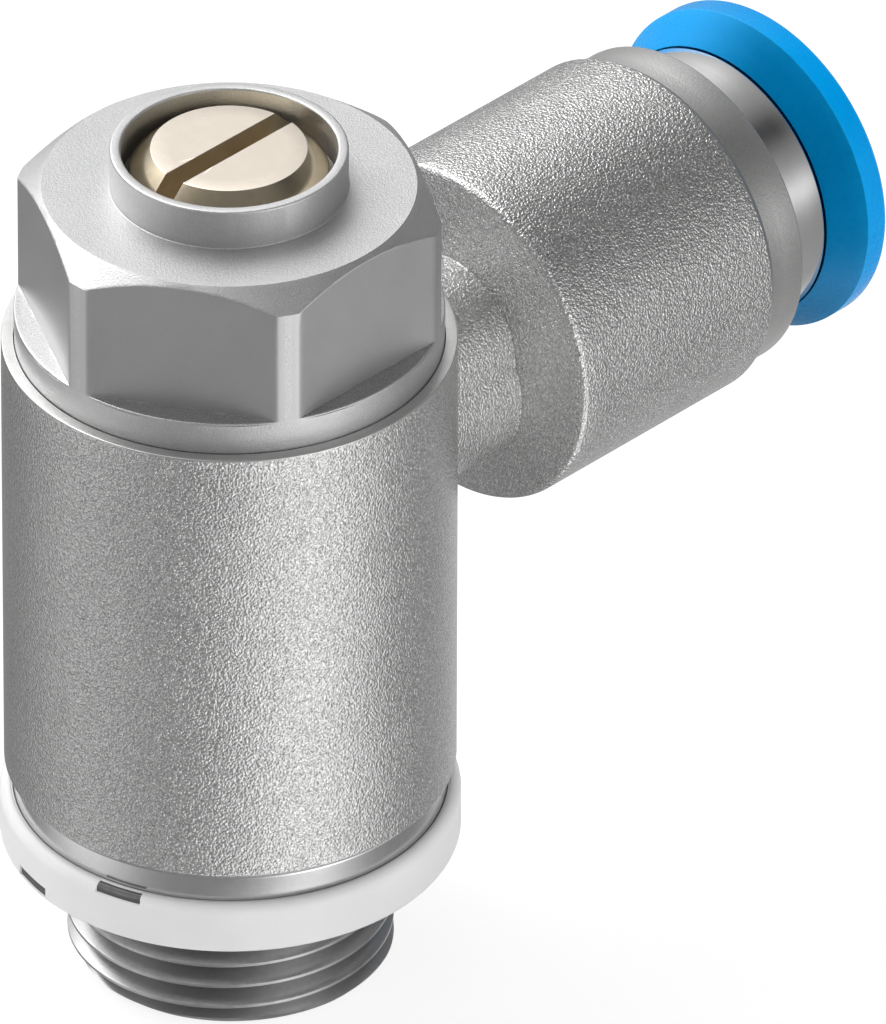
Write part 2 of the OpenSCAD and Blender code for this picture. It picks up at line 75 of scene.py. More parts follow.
@dataclass
class Patch:
    """Grid of points over two parameters, in millimetres, and which of its sides meet."""

    points: Array
    rows_meet: bool = False
    columns_meet: bool = False
    finish: int | Array = 0

    def faces(self) -> Array:
        """Returns: the four corner indices of each square of the grid."""
        rows, columns = self.points.shape[:2]
        index = np.arange(rows * columns).reshape(rows, columns)
        if self.rows_meet:
            index = np.vstack([index, index[:1]])
        if self.columns_meet:
            index = np.hstack([index, index[:, :1]])
        corners = (index[:-1, :-1], index[:-1, 1:], index[1:, 1:], index[1:, :-1])
        return np.stack([c.ravel() for c in corners], axis=1)


def eased(corners: list, steps: int = 5) -> Array:
    """Closed outline whose corners are rounded.

    Each corner is cut back on both sides by its radius over the tangent of half its angle, and
    an arc about a centre on its bisector joins the two cuts, stepped evenly in angle.

    Args:
        corners: rows of [radius from the axis, place along the axis, corner radius].
        steps: straight pieces of each arc.

    Returns:
        Points of the closed outline, one row each.
    """
    data = np.array(corners, float)
    at, radius = data[:, :2], data[:, 2]
    back, ahead = np.roll(at, 1, axis=0) - at, np.roll(at, -1, axis=0) - at
    back_len, ahead_len = np.linalg.norm(back, axis=1), np.linalg.norm(ahead, axis=1)
    back, ahead = back / back_len[:, None], ahead / ahead_len[:, None]
    half = np.arccos(np.clip((back * ahead).sum(axis=1), -1, 1)) / 2
    half = np.clip(half, 1e-3, math.pi / 2 - 1e-3)
    reach = np.minimum(radius / np.tan(half), 0.49 * np.minimum(back_len, ahead_len))
    radius = reach * np.tan(half)
    bisector = back + ahead
    bisector /= np.maximum(np.linalg.norm(bisector, axis=1), 1e-9)[:, None]
    centre = at + bisector * (radius / np.sin(half))[:, None]
    first, last = at + back * reach[:, None] - centre, at + ahead * reach[:, None] - centre
    start = np.arctan2(first[:, 1], first[:, 0])
    swing = (np.arctan2(last[:, 1], last[:, 0]) - start + math.pi) % (2 * math.pi) - math.pi
    turn = start[:, None] + swing[:, None] * np.linspace(0, 1, steps + 1)
    arc = centre[:, None] + radius[:, None, None] * np.stack([np.cos(turn), np.sin(turn)], axis=2)
    arc[radius < 1e-6] = at[radius < 1e-6][:, None]
    points = arc.reshape(-1, 2)
    kept = np.linalg.norm(points - np.roll(points, 1, axis=0), axis=1) > 1e-4
    return points[kept]


def filled(outline: Array, longest: float) -> Array:
    """Closed outline with points added along its long sides.

    Each side is divided evenly into the fewest parts that are no longer than the limit.

    Args:
        outline: points of the closed outline.
        longest: longest side left, in millimetres.

    Returns:
        Points of the finer outline.
    """
    ahead = np.roll(outline, -1, axis=0)
    parts = np.maximum(np.ceil(np.linalg.norm(ahead - outline, axis=1) / longest), 1).astype(int)
    side = np.repeat(np.arange(len(outline)), parts)
    share = (np.arange(parts.sum()) - np.repeat(np.cumsum(parts) - parts, parts)) / parts[side]
    return outline[side] + (ahead - outline)[side] * share[:, None]


def columns_of(*parts: Array | float) -> Array:
    """Returns: arrays and single values side by side, as the columns of one array."""
    return np.stack(np.broadcast_arrays(*parts), axis=1)


def round_grid(radius: Array, turn: Array, height: Array | float) -> Array:
    """Returns: points at radii, angles and heights that are spread over rows and columns."""
    return np.stack(np.broadcast_arrays(radius * np.cos(turn), radius * np.sin(turn), height),
                    axis=2)


def turned(outline: Array, columns: int, axis: Axis = Axis.BOLT, drop: float = 0.0) -> Patch:
    """Closed solid of revolution.

    A point at radius r and place s goes to r times the cosine and sine of the turn, and s along
    the axis.

    Args:
        outline: closed outline of [radius, place along the axis].
        columns: steps round the axis.
        axis: axis of the turning.
        drop: distance of the axis below the socket's, for the socket's axis alone.

    Returns:
        Grid of points, closed both ways.
    """
    turn = np.linspace(0, 2 * math.pi, columns, endpoint=False)
    grid = round_grid(outline[:, :1], turn, outline[:, 1:])
    if axis is Axis.SOCKET:
        grid = grid[..., [2, 0, 1]]
        grid[..., 2] = grid[..., 2] + SOCKET_HEIGHT - drop
    return Patch(grid, rows_meet=True, columns_meet=True)


def placed(name: str, data: bpy.types.ID) -> Obj:
    """Returns: a new object in the scene that shows the data."""
    made = bpy.data.objects.new(name, data)
    bpy.context.scene.collection.objects.link(made)
    return made


def mesh_object(name: str, patches: list[Patch]) -> Obj:
    """Makes one object of grids, with doubles merged and faces outwards.

    Args:
        name: name of the object and its mesh.
        patches: grids, in millimetres.

    Returns:
        The object, linked to the scene.
    """
    counts = np.cumsum([0] + [p.points.shape[0] * p.points.shape[1] for p in patches])
    points = np.concatenate([p.points.reshape(-1, 3) for p in patches]) * MM
    faces = np.concatenate([p.faces() + start for p, start in zip(patches, counts)])
    finish = np.concatenate([np.zeros(len(p.faces())) + np.ravel(p.finish) for p in patches])
    mesh = bpy.data.meshes.new(name)
    mesh.from_pydata(points.tolist(), [], faces.tolist())
    mesh.polygons.foreach_set("material_index", finish.astype(np.int32))
    tidy = bmesh.new()
    tidy.from_mesh(mesh)
    bmesh.ops.remove_doubles(tidy, verts=tidy.verts, dist=2e-7)
    bmesh.ops.dissolve_degenerate(tidy, dist=1e-7, edges=tidy.edges)
    bmesh.ops.recalc_face_normals(tidy, faces=tidy.faces)
    tidy.to_mesh(mesh)
    tidy.free()
    return placed(name, mesh)


def face_data(piece: Obj) -> tuple[Array, Array]:
    """Reads a mesh's faces.

    Args:
        piece: object to read.

    Returns:
        Normal of each face, and its middle in millimetres.
    """
    faces = piece.data.polygons
    normal, centre = np.empty(len(faces) * 3), np.empty(len(faces) * 3)
    faces.foreach_get("normal", normal)
    faces.foreach_get("center", centre)
    return normal.reshape(-1, 3), centre.reshape(-1, 3) / MM


def lathe(name: str, corners: list, longest: float, columns: int, axis: Axis = Axis.BOLT,
          drop: float = 0.0, steps: int = 5) -> Obj:
    """Closed solid turned from rounded corners.

    Args:
        name: name of the solid.
        corners: rows of [radius, place along the axis, corner radius].
        longest: longest side left on the outline, in millimetres.
        columns: steps round the axis.
        axis: axis of the turning.
        drop: distance of the axis below the socket's, for the socket's axis alone.
        steps: straight pieces of each round.

    Returns:
        The solid.
    """
    outline = filled(eased(corners, steps), longest)
    return mesh_object(name, [turned(outline, columns, axis, drop)])


def rod(name: str, radius: float, height: float, along: int, reach: float = 12.0) -> Obj:
    """Level round rod through the bolt's axis, as a cutter.

    Args:
        name: name of the solid.
        radius: radius of the rod.
        height: height of its axis.
        along: 0 for a rod along X, 1 for one along Y.
        reach: half its length.

    Returns:
        The solid.
    """
    outline = np.array([[THIN_HOLE, -reach], [radius, -reach], [radius, reach],
                        [THIN_HOLE, reach]])
    patch = turned(outline, 48, Axis.SOCKET, SOCKET_HEIGHT - height)
    if along:
        patch.points = patch.points[..., [1, 0, 2]]
    return mesh_object(name, [patch])


def combine(base: Obj, others: list[Obj], operation: str) -> None:
    """Joins solids to a base solid or cuts them out of it, and removes them.

    Args:
        base: solid that is kept, with its mesh replaced by the result.
        others: solids that are joined or cut out.
        operation: UNION or DIFFERENCE.
    """
    for other in others:
        step = base.modifiers.new("solid", "BOOLEAN")
        step.operation, step.object, step.solver = operation, other, "EXACT"
    bpy.context.view_layer.update()
    graph = bpy.context.evaluated_depsgraph_get()
    result = bpy.data.meshes.new_from_object(base.evaluated_get(graph))
    old = base.data
    base.modifiers.clear()
    base.data, result.name = result, old.name
    bpy.data.meshes.remove(old)
    for other in others:
        bpy.data.meshes.remove(other.data)


def mark_wear(piece: Obj) -> None:
    """Writes how sharply each vertex bulges, for the worn edges of the finishes.

    Along an edge, the bulge is twice the share of the edge that lies along the vertex's normal,
    over the edge's length squared, which is one over the radius of a round. A vertex takes the
    mean over its edges, and is then softened twice with its neighbours.

    Args:
        piece: piece whose mesh gets the attribute, from 0 for flat to 1 for a sharp edge.
    """
    mesh = piece.data
    count = len(mesh.vertices)
    place, normal = np.empty(count * 3), np.empty(count * 3)
    ends = np.empty(len(mesh.edges) * 2, np.int32)
    mesh.vertices.foreach_get("co", place)
    mesh.vertex_normals.foreach_get("vector", normal)
    mesh.edges.foreach_get("vertices", ends)
    place, normal = place.reshape(-1, 3) / MM, normal.reshape(-1, 3)
    first, last = ends.reshape(-1, 2).T
    edge = place[first] - place[last]
    square = np.maximum((edge ** 2).sum(axis=1), 1e-4)
    near = np.bincount(np.concatenate([first, last]), minlength=count)

    def gathered(to_first: Array, to_last: Array) -> Array:
        """Returns: the mean at each vertex of what its edges bring."""
        total = np.bincount(first, to_first, count) + np.bincount(last, to_last, count)
        return total / np.maximum(near, 1)

    bulge = gathered(2 * (normal[first] * edge).sum(axis=1) / square,
                     -2 * (normal[last] * edge).sum(axis=1) / square)
    for _ in range(2):
        bulge = (bulge + gathered(bulge[last], bulge[first])) / 2
    layer = mesh.attributes.new("edge_wear", "FLOAT", "POINT")
    layer.data.foreach_set("value", np.clip((bulge - 0.6) / 3.4, 0, 1).astype(np.float32))


def smoothed(piece: Obj, sharp_degrees: float = 35.0) -> Obj:
    """Shades a piece smooth between its sharp edges, with flats kept flat.

    Args:
        piece: piece to shade.
        sharp_degrees: edges that turn more than this stay sharp.

    Returns:
        The same piece.
    """
    mesh = piece.data
    mesh.polygons.foreach_set("use_smooth", np.ones(len(mesh.polygons), bool))
    mesh.set_sharp_from_angle(angle=math.radians(sharp_degrees))
    normals = piece.modifiers.new("normals", "WEIGHTED_NORMAL")
    normals.keep_sharp = True
    mark_wear(piece)
    return piece


# Material nodes


class Nodes:
    """Short ways to put nodes into a tree and to link them."""

    def __init__(self, tree: bpy.types.NodeTree) -> None:
        """Empties the tree.

        Args:
            tree: node tree of a material or of the world.
        """
        self.tree = tree
        tree.nodes.clear()

    def add(self, kind: str, inputs: dict | None = None, **settings: object) -> bpy.types.Node:
        """Adds a node.

        Args:
            kind: Blender's name of the node type.
            inputs: value or socket for each named input.
            settings: properties of the node itself.

        Returns:
            The node.
        """
        node = self.tree.nodes.new(kind)
        for name, value in settings.items():
            setattr(node, name, value)
        self.feed_all(node, inputs or {})
        return node

    def feed(self, socket: bpy.types.NodeSocket, value: object) -> None:
        """Links a socket to an input, or sets the input's value."""
        if isinstance(value, bpy.types.NodeSocket):
            self.tree.links.new(value, socket)
        else:
            socket.default_value = value

    def feed_all(self, node: bpy.types.Node, inputs: dict) -> None:
        """Feeds the named inputs of a node."""
        for name, value in inputs.items():
            self.feed(node.inputs[name], value)

    def maths(self, operation: str, *values: object) -> bpy.types.NodeSocket:
        """Returns: the result of a sum on one to three numbers or sockets."""
        node = self.add("ShaderNodeMath", operation=operation)
        for place, value in enumerate(values):
            self.feed(node.inputs[place], value)
        return node.outputs[0]

    def place(self, move: tuple = (0.0, 0.0, 0.0), turn: tuple = (0.0, 0.0, 0.0),
              scale: tuple = (1.0, 1.0, 1.0)) -> bpy.types.NodeSocket:
        """Object coordinates, moved, turned and stretched.

        Args:
            move: shift in metres.
            turn: turn in radians.
            scale: stretch along each axis.

        Returns:
            The socket of the coordinates.
        """
        source = self.add("ShaderNodeTexCoord").outputs["Object"]
        mapping = self.add("ShaderNodeMapping", {"Vector": source, "Location": move,
                                                 "Rotation": turn, "Scale": scale})
        return mapping.outputs["Vector"]

    def noise(self, size: float, detail: float = 2.0, rough: float = 0.5, bend: float = 0.0,
              at: bpy.types.NodeSocket | None = None) -> bpy.types.NodeSocket:
        """Smooth random pattern.

        Args:
            size: size of its grains, in millimetres.
            detail: finer layers added to it.
            rough: strength of each finer layer.
            bend: how far it is bent.
            at: coordinates, or None for the object's own.

        Returns:
            The socket of its value, about 0.5 on average.
        """
        node = self.add("ShaderNodeTexNoise", {
            "Vector": at or self.place(), "Scale": 1 / (size * MM), "Detail": detail,
            "Roughness": rough, "Distortion": bend})
        return node.outputs["Fac"]

    def between(self, value: bpy.types.NodeSocket, low: float, high: float, to_low: float = 0.0,
                to_high: float = 1.0) -> bpy.types.NodeSocket:
        """Value carried from one range to another with soft ends.

        Args:
            value: socket to carry over.
            low: value that gives the low result.
            high: value that gives the high result.
            to_low: low result.
            to_high: high result.

        Returns:
            The socket of the result.
        """
        node = self.add("ShaderNodeMapRange", {
            "Value": value, "From Min": low, "From Max": high, "To Min": to_low,
            "To Max": to_high}, interpolation_type="SMOOTHSTEP")
        return node.outputs["Result"]

    def tint(self, share: object, first: object, second: object) -> bpy.types.NodeSocket:
        """Returns: a colour between two colours or sockets, by a share from 0 to 1."""
        node = self.add("ShaderNodeMix", data_type="RGBA")
        self.feed(node.inputs["Factor"], share)
        for place, colour in ((6, first), (7, second)):
            self.feed(node.inputs[place], (*colour, 1.0) if isinstance(colour, tuple) else colour)
        return node.outputs[2]

    def worn(self, amount: float) -> bpy.types.NodeSocket:
        """Patchy wear of the edges.

        Args:
            amount: share of wear on the sharpest edges.

        Returns:
            The socket of the share of worn surface.
        """
        sharp = self.add("ShaderNodeAttribute", attribute_name="edge_wear").outputs["Fac"]
        patchy = self.between(self.noise(1.1, 3.0, 0.6), 0.3, 0.6, 0.35, 1.0)
        return self.maths("MULTIPLY", self.maths("MULTIPLY", sharp, patchy), amount)

    def relief(self, height: object, depth: float, below: object = None) -> bpy.types.NodeSocket:
        """Relief from a height pattern.

        Args:
            height: socket of the pattern.
            depth: depth of a full step of it, in millimetres.
            below: normal that it is laid over.

        Returns:
            The socket of the bent normal.
        """
        node = self.add("ShaderNodeBump", {"Height": height, "Distance": depth * MM,
                                           "Strength": 1.0})
        if below is not None:
            self.feed(node.inputs["Normal"], below)
        return node.outputs["Normal"]


def shader(name: str) -> tuple[bpy.types.Material, Nodes, bpy.types.Node]:
    """Starts a material with one principled surface.

    Args:
        name: name of the material.

    Returns:
        The material, its nodes and the surface node.
    """
    material = bpy.data.materials.new(name)
    material.use_nodes = True
    nodes = Nodes(material.node_tree)
    surface = nodes.add("ShaderNodeBsdfPrincipled")
    output = nodes.add("ShaderNodeOutputMaterial")
    nodes.feed(output.inputs["Surface"], surface.outputs["BSDF"])
    return material, nodes, surface


def grey(level: float) -> tuple:
    """Returns: a grey of one level."""
    return (level, level, level)


@dataclass(frozen=True)
class Metal:
    """Metal with a fine grain, a drift of tone and worn edges."""

    name: str
    colour: tuple
    dull: tuple
    rough: tuple
    grain_size: float
    grain_depth: float
    bend: float = 0.0
    detail: float = 2.0
    wear: float = 0.15
    worn_to: tuple = (0.9, 0.9, 0.89)
    speckle: float = 0.35
    ring_axis: Axis | None = None
    ring_depth: float = 0.0
    ring_pitch: float = 0.09

    def rings(self, nodes: Nodes) -> bpy.types.NodeSocket:
        """Marks of the turning tool: a pattern stretched round the axis.

        The distance from the axis and the place along it are read instead of the angle, so the
        marks run round the piece.

        Args:
            nodes: tree of the material.

        Returns:
            The socket of the pattern.
        """
        move = (0.0, 0.0, 0.0) if self.ring_axis is Axis.BOLT else (0.0, 0.0, -SOCKET_HEIGHT * MM)
        split = nodes.add("ShaderNodeSeparateXYZ", {"Vector": nodes.place(move)})
        along, side, rise = "ZXY" if self.ring_axis is Axis.BOLT else "XYZ"
        squares = [nodes.maths("MULTIPLY", split.outputs[name], split.outputs[name])
                   for name in (side, rise)]
        radius = nodes.maths("SQRT", nodes.maths("ADD", *squares))
        joined = nodes.add("ShaderNodeCombineXYZ", {"X": radius, "Y": split.outputs[along]})
        return nodes.noise(self.ring_pitch, 3.0, 0.6, at=joined.outputs["Vector"])

    def make(self) -> bpy.types.Material:
        """Returns: the finished material."""
        material, nodes, surface = shader(self.name)
        grain = nodes.noise(self.grain_size, self.detail, 0.5, self.bend)
        drift = nodes.noise(6.0, 3.0, 0.55)
        tone = nodes.maths("MULTIPLY_ADD", grain, self.speckle,
                           nodes.maths("MULTIPLY", drift, 1 - self.speckle))
        base = nodes.tint(nodes.between(tone, 0.3, 0.7), self.dull, self.colour)
        normal = nodes.relief(grain, self.grain_depth)
        if self.ring_axis is not None:
            normal = nodes.relief(self.rings(nodes), self.ring_depth, normal)
        nodes.feed_all(surface, {
            "Base Color": nodes.tint(nodes.worn(self.wear), base, self.worn_to),
            "Roughness": nodes.between(tone, 0.25, 0.75, *self.rough),
            "Metallic": 1.0, "Normal": normal})
        return material


@dataclass(frozen=True)
class Plastic:
    """Moulded plastic with a fine skin, a drift of tone and rubbed edges, and, where given, a
    painted light that lightens it towards +Y.
    """

    name: str
    colour: tuple
    deep: tuple
    rough: float
    skin_size: float
    skin_depth: float
    rubbed: tuple = grey(0.9)
    wear: float = 0.1
    glow: float = 0.0
    sheen: tuple = grey(1.0)
    # Painted light: start and end along Y in millimetres, and the colour that the plastic is
    # lightened to towards +Y
    painted_light_side: tuple | None = None

    def make(self) -> bpy.types.Material:
        """Returns: the finished material."""
        material, nodes, surface = shader(self.name)
        skin = nodes.noise(self.skin_size, 3.0, 0.55)
        drift = nodes.noise(5.0, 2.0, 0.5)
        base = nodes.tint(nodes.between(drift, 0.3, 0.7), self.deep, self.colour)
        # Painted light: the base colour is lightened towards +Y, as if light fell on that side
        if self.painted_light_side is not None:
            start, end, lit = self.painted_light_side
            side = nodes.add("ShaderNodeSeparateXYZ", {"Vector": nodes.place()}).outputs["Y"]
            base = nodes.tint(nodes.between(side, start * MM, end * MM), base, lit)
        nodes.feed_all(surface, {
            "Base Color": nodes.tint(nodes.worn(self.wear), base, self.rubbed),
            "Roughness": nodes.between(skin, 0.3, 0.7, self.rough - 0.05, self.rough + 0.05),
            "Specular Tint": (*self.sheen, 1.0),
            "Normal": nodes.relief(skin, self.skin_depth)})
        if self.glow > 0:
            nodes.feed_all(surface, {"Subsurface Weight": self.glow, "Subsurface Scale": MM,
                                     "Subsurface Radius": grey(0.4)})
        return material


CAST = Metal("cast_housing", (0.70, 0.70, 0.695), (0.55, 0.55, 0.545), (0.20, 0.26), 0.13, 0.085,
             bend=0.35, detail=1.0, wear=0.3, speckle=0.75)
TURNED_END = Metal("turned_end", (0.70, 0.70, 0.695), (0.61, 0.61, 0.605), (0.30, 0.38), 0.11,
                   0.012, wear=0.3, speckle=0.6, ring_axis=Axis.SOCKET, ring_depth=0.003)
BEVEL = Metal("turned_bevel", (0.56, 0.56, 0.555), (0.51, 0.51, 0.505), (0.34, 0.40), 0.3, 0.002,
              wear=0.0)
# Partly real and partly painted light: the end face's stronger grain and smoother finish are the
# casting's own, while its paler colour than the cast housing stands for light on the face
CAST_END_PAINTED_LIGHT = Metal("cast_end_face_painted_light", (0.80, 0.80, 0.795), (0.58, 0.58, 0.575), (0.16, 0.22), 0.13, 0.16,
              bend=0.35, detail=1.0, wear=0.3, speckle=0.75)
# Painted light: a copy of the screw's brass, lighter than its flanks, for the inside of the driver
# slot
SLOT_BRASS_PAINTED_LIGHT = Metal("slot_brass_painted_light", (0.70, 0.60, 0.43), (0.64, 0.54, 0.38), (0.42, 0.5), 0.4, 0.002,
                   wear=0.3)
BLASTED = Metal("blasted_head", grey(0.69), grey(0.58), (0.42, 0.50), 0.09,
                0.018, wear=0.25, speckle=0.6)
LEDGE = Metal("turned_ledge", grey(0.62), grey(0.56), (0.24, 0.32), 0.10, 0.006,
              speckle=0.6)
MILLED = Metal("milled_flats", grey(0.62), grey(0.57), (0.40, 0.48), 0.14, 0.004,
               detail=3.0, wear=0.25)
THREADED = Metal("turned_thread", grey(0.46), grey(0.38), (0.28, 0.36), 0.25, 0.004,
                 wear=0.5, ring_axis=Axis.BOLT, ring_depth=0.003)
POLISHED = Metal("polished_sleeve", grey(0.93), grey(0.88), (0.06, 0.10), 0.6,
                 0.002, ring_axis=Axis.SOCKET, ring_depth=0.0015)
BRIGHT_RING = Metal("bright_ring", grey(0.72), grey(0.66), (0.14, 0.20), 0.5, 0.002,
                    ring_axis=Axis.BOLT, ring_depth=0.002)
SPRING = Metal("spring_steel", (0.62, 0.63, 0.65), (0.52, 0.53, 0.55), (0.22, 0.32), 0.4, 0.002)
# Painted light: brass paler than brass is, for the screw's lit top face; the throttle seat takes
# it too
BRASS_PAINTED_LIGHT = Metal("brass_painted_light", (1.0, 0.90, 0.78), (0.98, 0.88, 0.76), (0.16, 0.24), 0.5, 0.0015,
                   wear=0.1)
# Painted shade: a darker copy of the brass for the screw's flanks
BRASS_PAINTED_SHADE = Metal("brass_painted_shade", (0.55, 0.47, 0.34), (0.47, 0.40, 0.28), (0.18, 0.26), 0.4, 0.002,
                   wear=0.3, worn_to=(0.85, 0.78, 0.66))
WASHER = Plastic("dark_washer", (0.03, 0.03, 0.032), (0.02, 0.02, 0.022), 0.5, 0.2, 0.003)
WHITE = Plastic("white_ring", grey(0.80), grey(0.76), 0.45, 0.25, 0.003, glow=0.15)
# Painted shade: near-black plastic in the seal ring's windows stands for the shade on the metal
# behind them, and its lighter worn edges stand for the highlight along that metal's top edge
WINDOW_PAINTED_SHADE = Plastic("window_painted_shade", (0.085, 0.087, 0.088), (0.065, 0.067, 0.068), 0.45, 0.25, 0.003,
               rubbed=grey(0.35), wear=0.6)
BLUE = Plastic("blue_ring", (0.0, 0.32, 0.78), (0.0, 0.30, 0.74), 0.26, 0.35, 0.003,
               rubbed=(0.02, 0.5, 0.95), wear=0.25, sheen=(0.02, 0.5, 0.9))
# Painted shade and light: a darker copy of the blue plastic for the release ring's faces turned
# back along -X, lightened towards +Y as painted light
BLUE_PAINTED_SHADE = Plastic("blue_ring_painted_shade", (0.0, 0.17, 0.40), (0.0, 0.155, 0.37), 0.30, 0.35, 0.003,
                    rubbed=(0.02, 0.5, 0.95), wear=0.25, sheen=(0.02, 0.5, 0.9),
                    painted_light_side=(-2.5, 4.5, (0.0, 0.36, 0.87)))
RUBBER = Plastic("seal_rubber", grey(0.022), grey(0.014), 0.5, 0.15, 0.004,
                 rubbed=grey(0.05))
SPACER = Plastic("pale_spacer", (0.55, 0.54, 0.50), (0.50, 0.49, 0.45), 0.4, 0.3, 0.003)


def dress(piece: Obj, *finishes: Metal | Plastic, index: Array | None = None) -> None:
    """Puts finished materials into a piece's slots, in order.

    Args:
        piece: piece to dress.
        finishes: finishes of the slots.
        index: number of each face's slot, or None where the faces have theirs.
    """
    if index is not None:
        piece.data.polygons.foreach_set("material_index", index.astype(np.int32))
    while len(piece.data.materials) < len(finishes):
        piece.data.materials.append(None)
    for place, finish in enumerate(finishes):
        material = bpy.data.materials.get(finish.name) or finish.make()
        piece.data.materials[place] = material


def seat(piece: Obj, body: Body, slot: str, *nodes: str) -> Obj:
    """Lets a piece ride on its body and stand for its nodes.

    Args:
        piece: finished piece.
        body: body that it moves with.
        slot: material slot of the record; not used.
        nodes: nodes that it replaces.

    Returns:
        The same piece.
    """
    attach(piece, body.value)
    if nodes:
        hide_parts(*nodes)
    log.info("made %s on %s, %d faces", piece.name, body.value, len(piece.data.polygons))
    return piece


# Sub-assemblies


@dataclass
class HollowBolt:
    """Turned bolt with a helical thread, a hexagon head with crescent ledges, and a collar."""

    thread_r: float = 8.331
    root_r: float = 7.481
    end_r: float = 7.481
    end_chamfer: float = 30.0
    pitch: float = 1.262
    crest_height: float = -3.117
    crest_angle: float = 224.06
    thread_top: float = 0.35
    relief_run: float = 0.35
    relief_rise: float = 0.85
    seal_floor: float = 1.2
    seat_r: float = 8.701
    support_top: float = 4.28
    land_r: float = 8.951
    groove_r: float = 7.471
    waist_r: float = 6.6
    waist: tuple = (8.38, 25.13)
    grooves: tuple = ((5.68, 7.68), (25.83, 27.83))
    holes: tuple = ((1.9, SOCKET_HEIGHT), (1.6, 10.08))
    skirt_z: float = 28.77
    skirt_r: float = 10.83
    sleeve_top: float = 29.67
    ledge_z: float = 31.43
    corner_r: float = 10.85
    apothem: float = 9.68
    hex_top: float = 38.73
    corner_fall: float = 1.06
    top_flat_r: float = 9.42
    collar_r: float = 6.0
    collar_fillet: float = 0.06
    rim_z: float = 40.89
    lip_round: float = 0.12
    mouth_r: float = 5.45
    mouth_z: float = 38.89
    mouth_lead: float = 0.35
    head_bore_r: float = 5.1
    head_bore_z: float = 30.89
    screw_bore_r: float = 4.0
    chamber_r: float = 4.6
    chamber_top: float = 25.42
    seat_top: float = 17.02
    air_bore_r: float = 5.0
    bore_chamfer: float = 0.3
    ledge_rise: float = 0.05
    ledge_ease: float = 0.08
    edge_round: float = 0.07
    plain_spread: float = 15.0

    def spread(self, half_flat: Array) -> Array:
        """Angles of the columns, gathered at the edges of the six flats.

        In each sixth of the turn, columns run over the flat from minus to plus its half angle,
        and then over the corner to the next flat.

        Args:
            half_flat: half angle of a flat in each row, in degrees.

        Returns:
            Angles in degrees, rows by columns, from the first flat's edge once round.
        """
        near = np.array([0, 0.012, 0.03, 0.06, 0.12])
        flat = np.concatenate([near, np.linspace(0.2, 0.8, 12), 1 - near[::-1]]) * 2 - 1
        corner = np.concatenate([[0.05, 0.12, 0.22], np.linspace(0.34, 0.66, 4),
                                 [0.78, 0.88, 0.95]])
        half = half_flat[:, None]
        sixth = np.hstack([30 + flat * half, 30 + half + corner * (60 - 2 * half)])
        return np.hstack([sixth + 60 * k for k in range(6)])

    def head_rows(self) -> Array:
        """Rows of the head from the skirt's underside to the collar's foot.

        Returns:
            Rows of [round radius, height, distance of the flats from the axis, 1 on a ledge].
        """
        low, top = self.ledge_z - self.ledge_ease, self.ledge_z + self.ledge_rise
        skirt = np.array([
            [self.land_r, self.skirt_z], [self.skirt_r - 0.15, self.skirt_z],
            [self.skirt_r - 0.05, self.skirt_z + 0.04], [self.skirt_r, self.skirt_z + 0.15],
            [self.skirt_r, self.sleeve_top], [self.skirt_r, self.sleeve_top + 0.5],
            [self.corner_r, self.sleeve_top + 1.2], [self.corner_r, low - 0.05]])
        skirt = columns_of(*skirt.T, NO_FLATS, 0.0)
        arc = np.radians(np.linspace(0, 90, 6))
        inward = self.corner_r - self.ledge_ease * (1 - np.cos(arc))
        slope = np.linspace(0, 1, 7)[1:]
        inward = np.append(inward, inward[-1] + (self.apothem - inward[-1]) * slope)
        rise = np.append(low + self.ledge_ease * np.sin(arc),
                         self.ledge_z + self.ledge_rise * slope)
        ledge = columns_of(inward, rise, self.apothem, 1.0)
        rise = np.linspace(top, self.hex_top - self.corner_fall, 9)[:-1]
        flats = columns_of(self.corner_r, rise, self.apothem, 0.0)
        half = np.linspace(math.acos(self.apothem / self.corner_r), 0, 30)
        radius = np.append(self.apothem / np.cos(half), self.top_flat_r)
        height = self.hex_top - self.corner_fall * (
            (radius - self.top_flat_r) / (self.corner_r - self.top_flat_r))
        chamfer = columns_of(radius, height, self.apothem, 0.0)
        inner = np.linspace(self.top_flat_r - 0.04, self.collar_r + self.collar_fillet, 6)
        face = columns_of(inner, self.hex_top, NO_FLATS, 0.0)
        return np.vstack([skirt, ledge, flats, chamfer, face])

    def head(self) -> Patch:
        """Head of the bolt, by rows.

        The hexagon's radius at an angle is the smaller of the round radius and the flats'
        distance over the cosine of the angle from the flat's middle, blended over the edge's
        round. On a ledge, the row takes its own radius where the hexagon lies farther in.

        Returns:
            Grid of points, rows from the skirt up.
        """
        rows = self.head_rows()
        limit, height, flats, ledge = (rows[:, k:k + 1] for k in range(4))
        reach = np.where(ledge > 0, self.corner_r, limit)
        half = np.degrees(np.arccos(np.clip(flats / reach, -1, 1)))
        half = np.where(flats > reach, 0, half)[:, 0]
        angle = self.spread(np.maximum(half, self.plain_spread))
        off = np.radians((angle % 60) - 30)
        flat_r = np.minimum(flats / np.cos(off), 60)
        gap = np.maximum(self.edge_round - np.abs(reach - flat_r), 0)
        hexagon = np.minimum(reach, flat_r) - gap ** 2 / (4 * self.edge_round)
        radius = np.where(ledge > 0, np.maximum(limit, hexagon), hexagon)
        return Patch(round_grid(radius, np.radians(angle), height), columns_meet=True)

    def plain_rows(self, outline: Array) -> Patch:
        """Rows turned on the same columns as the head's plain rows.

        Args:
            outline: points of [radius, height].

        Returns:
            Grid of points.
        """
        turn = np.radians(self.spread(np.full(len(outline), self.plain_spread)))
        return Patch(round_grid(outline[:, :1], turn, outline[:, 1:]), columns_meet=True)

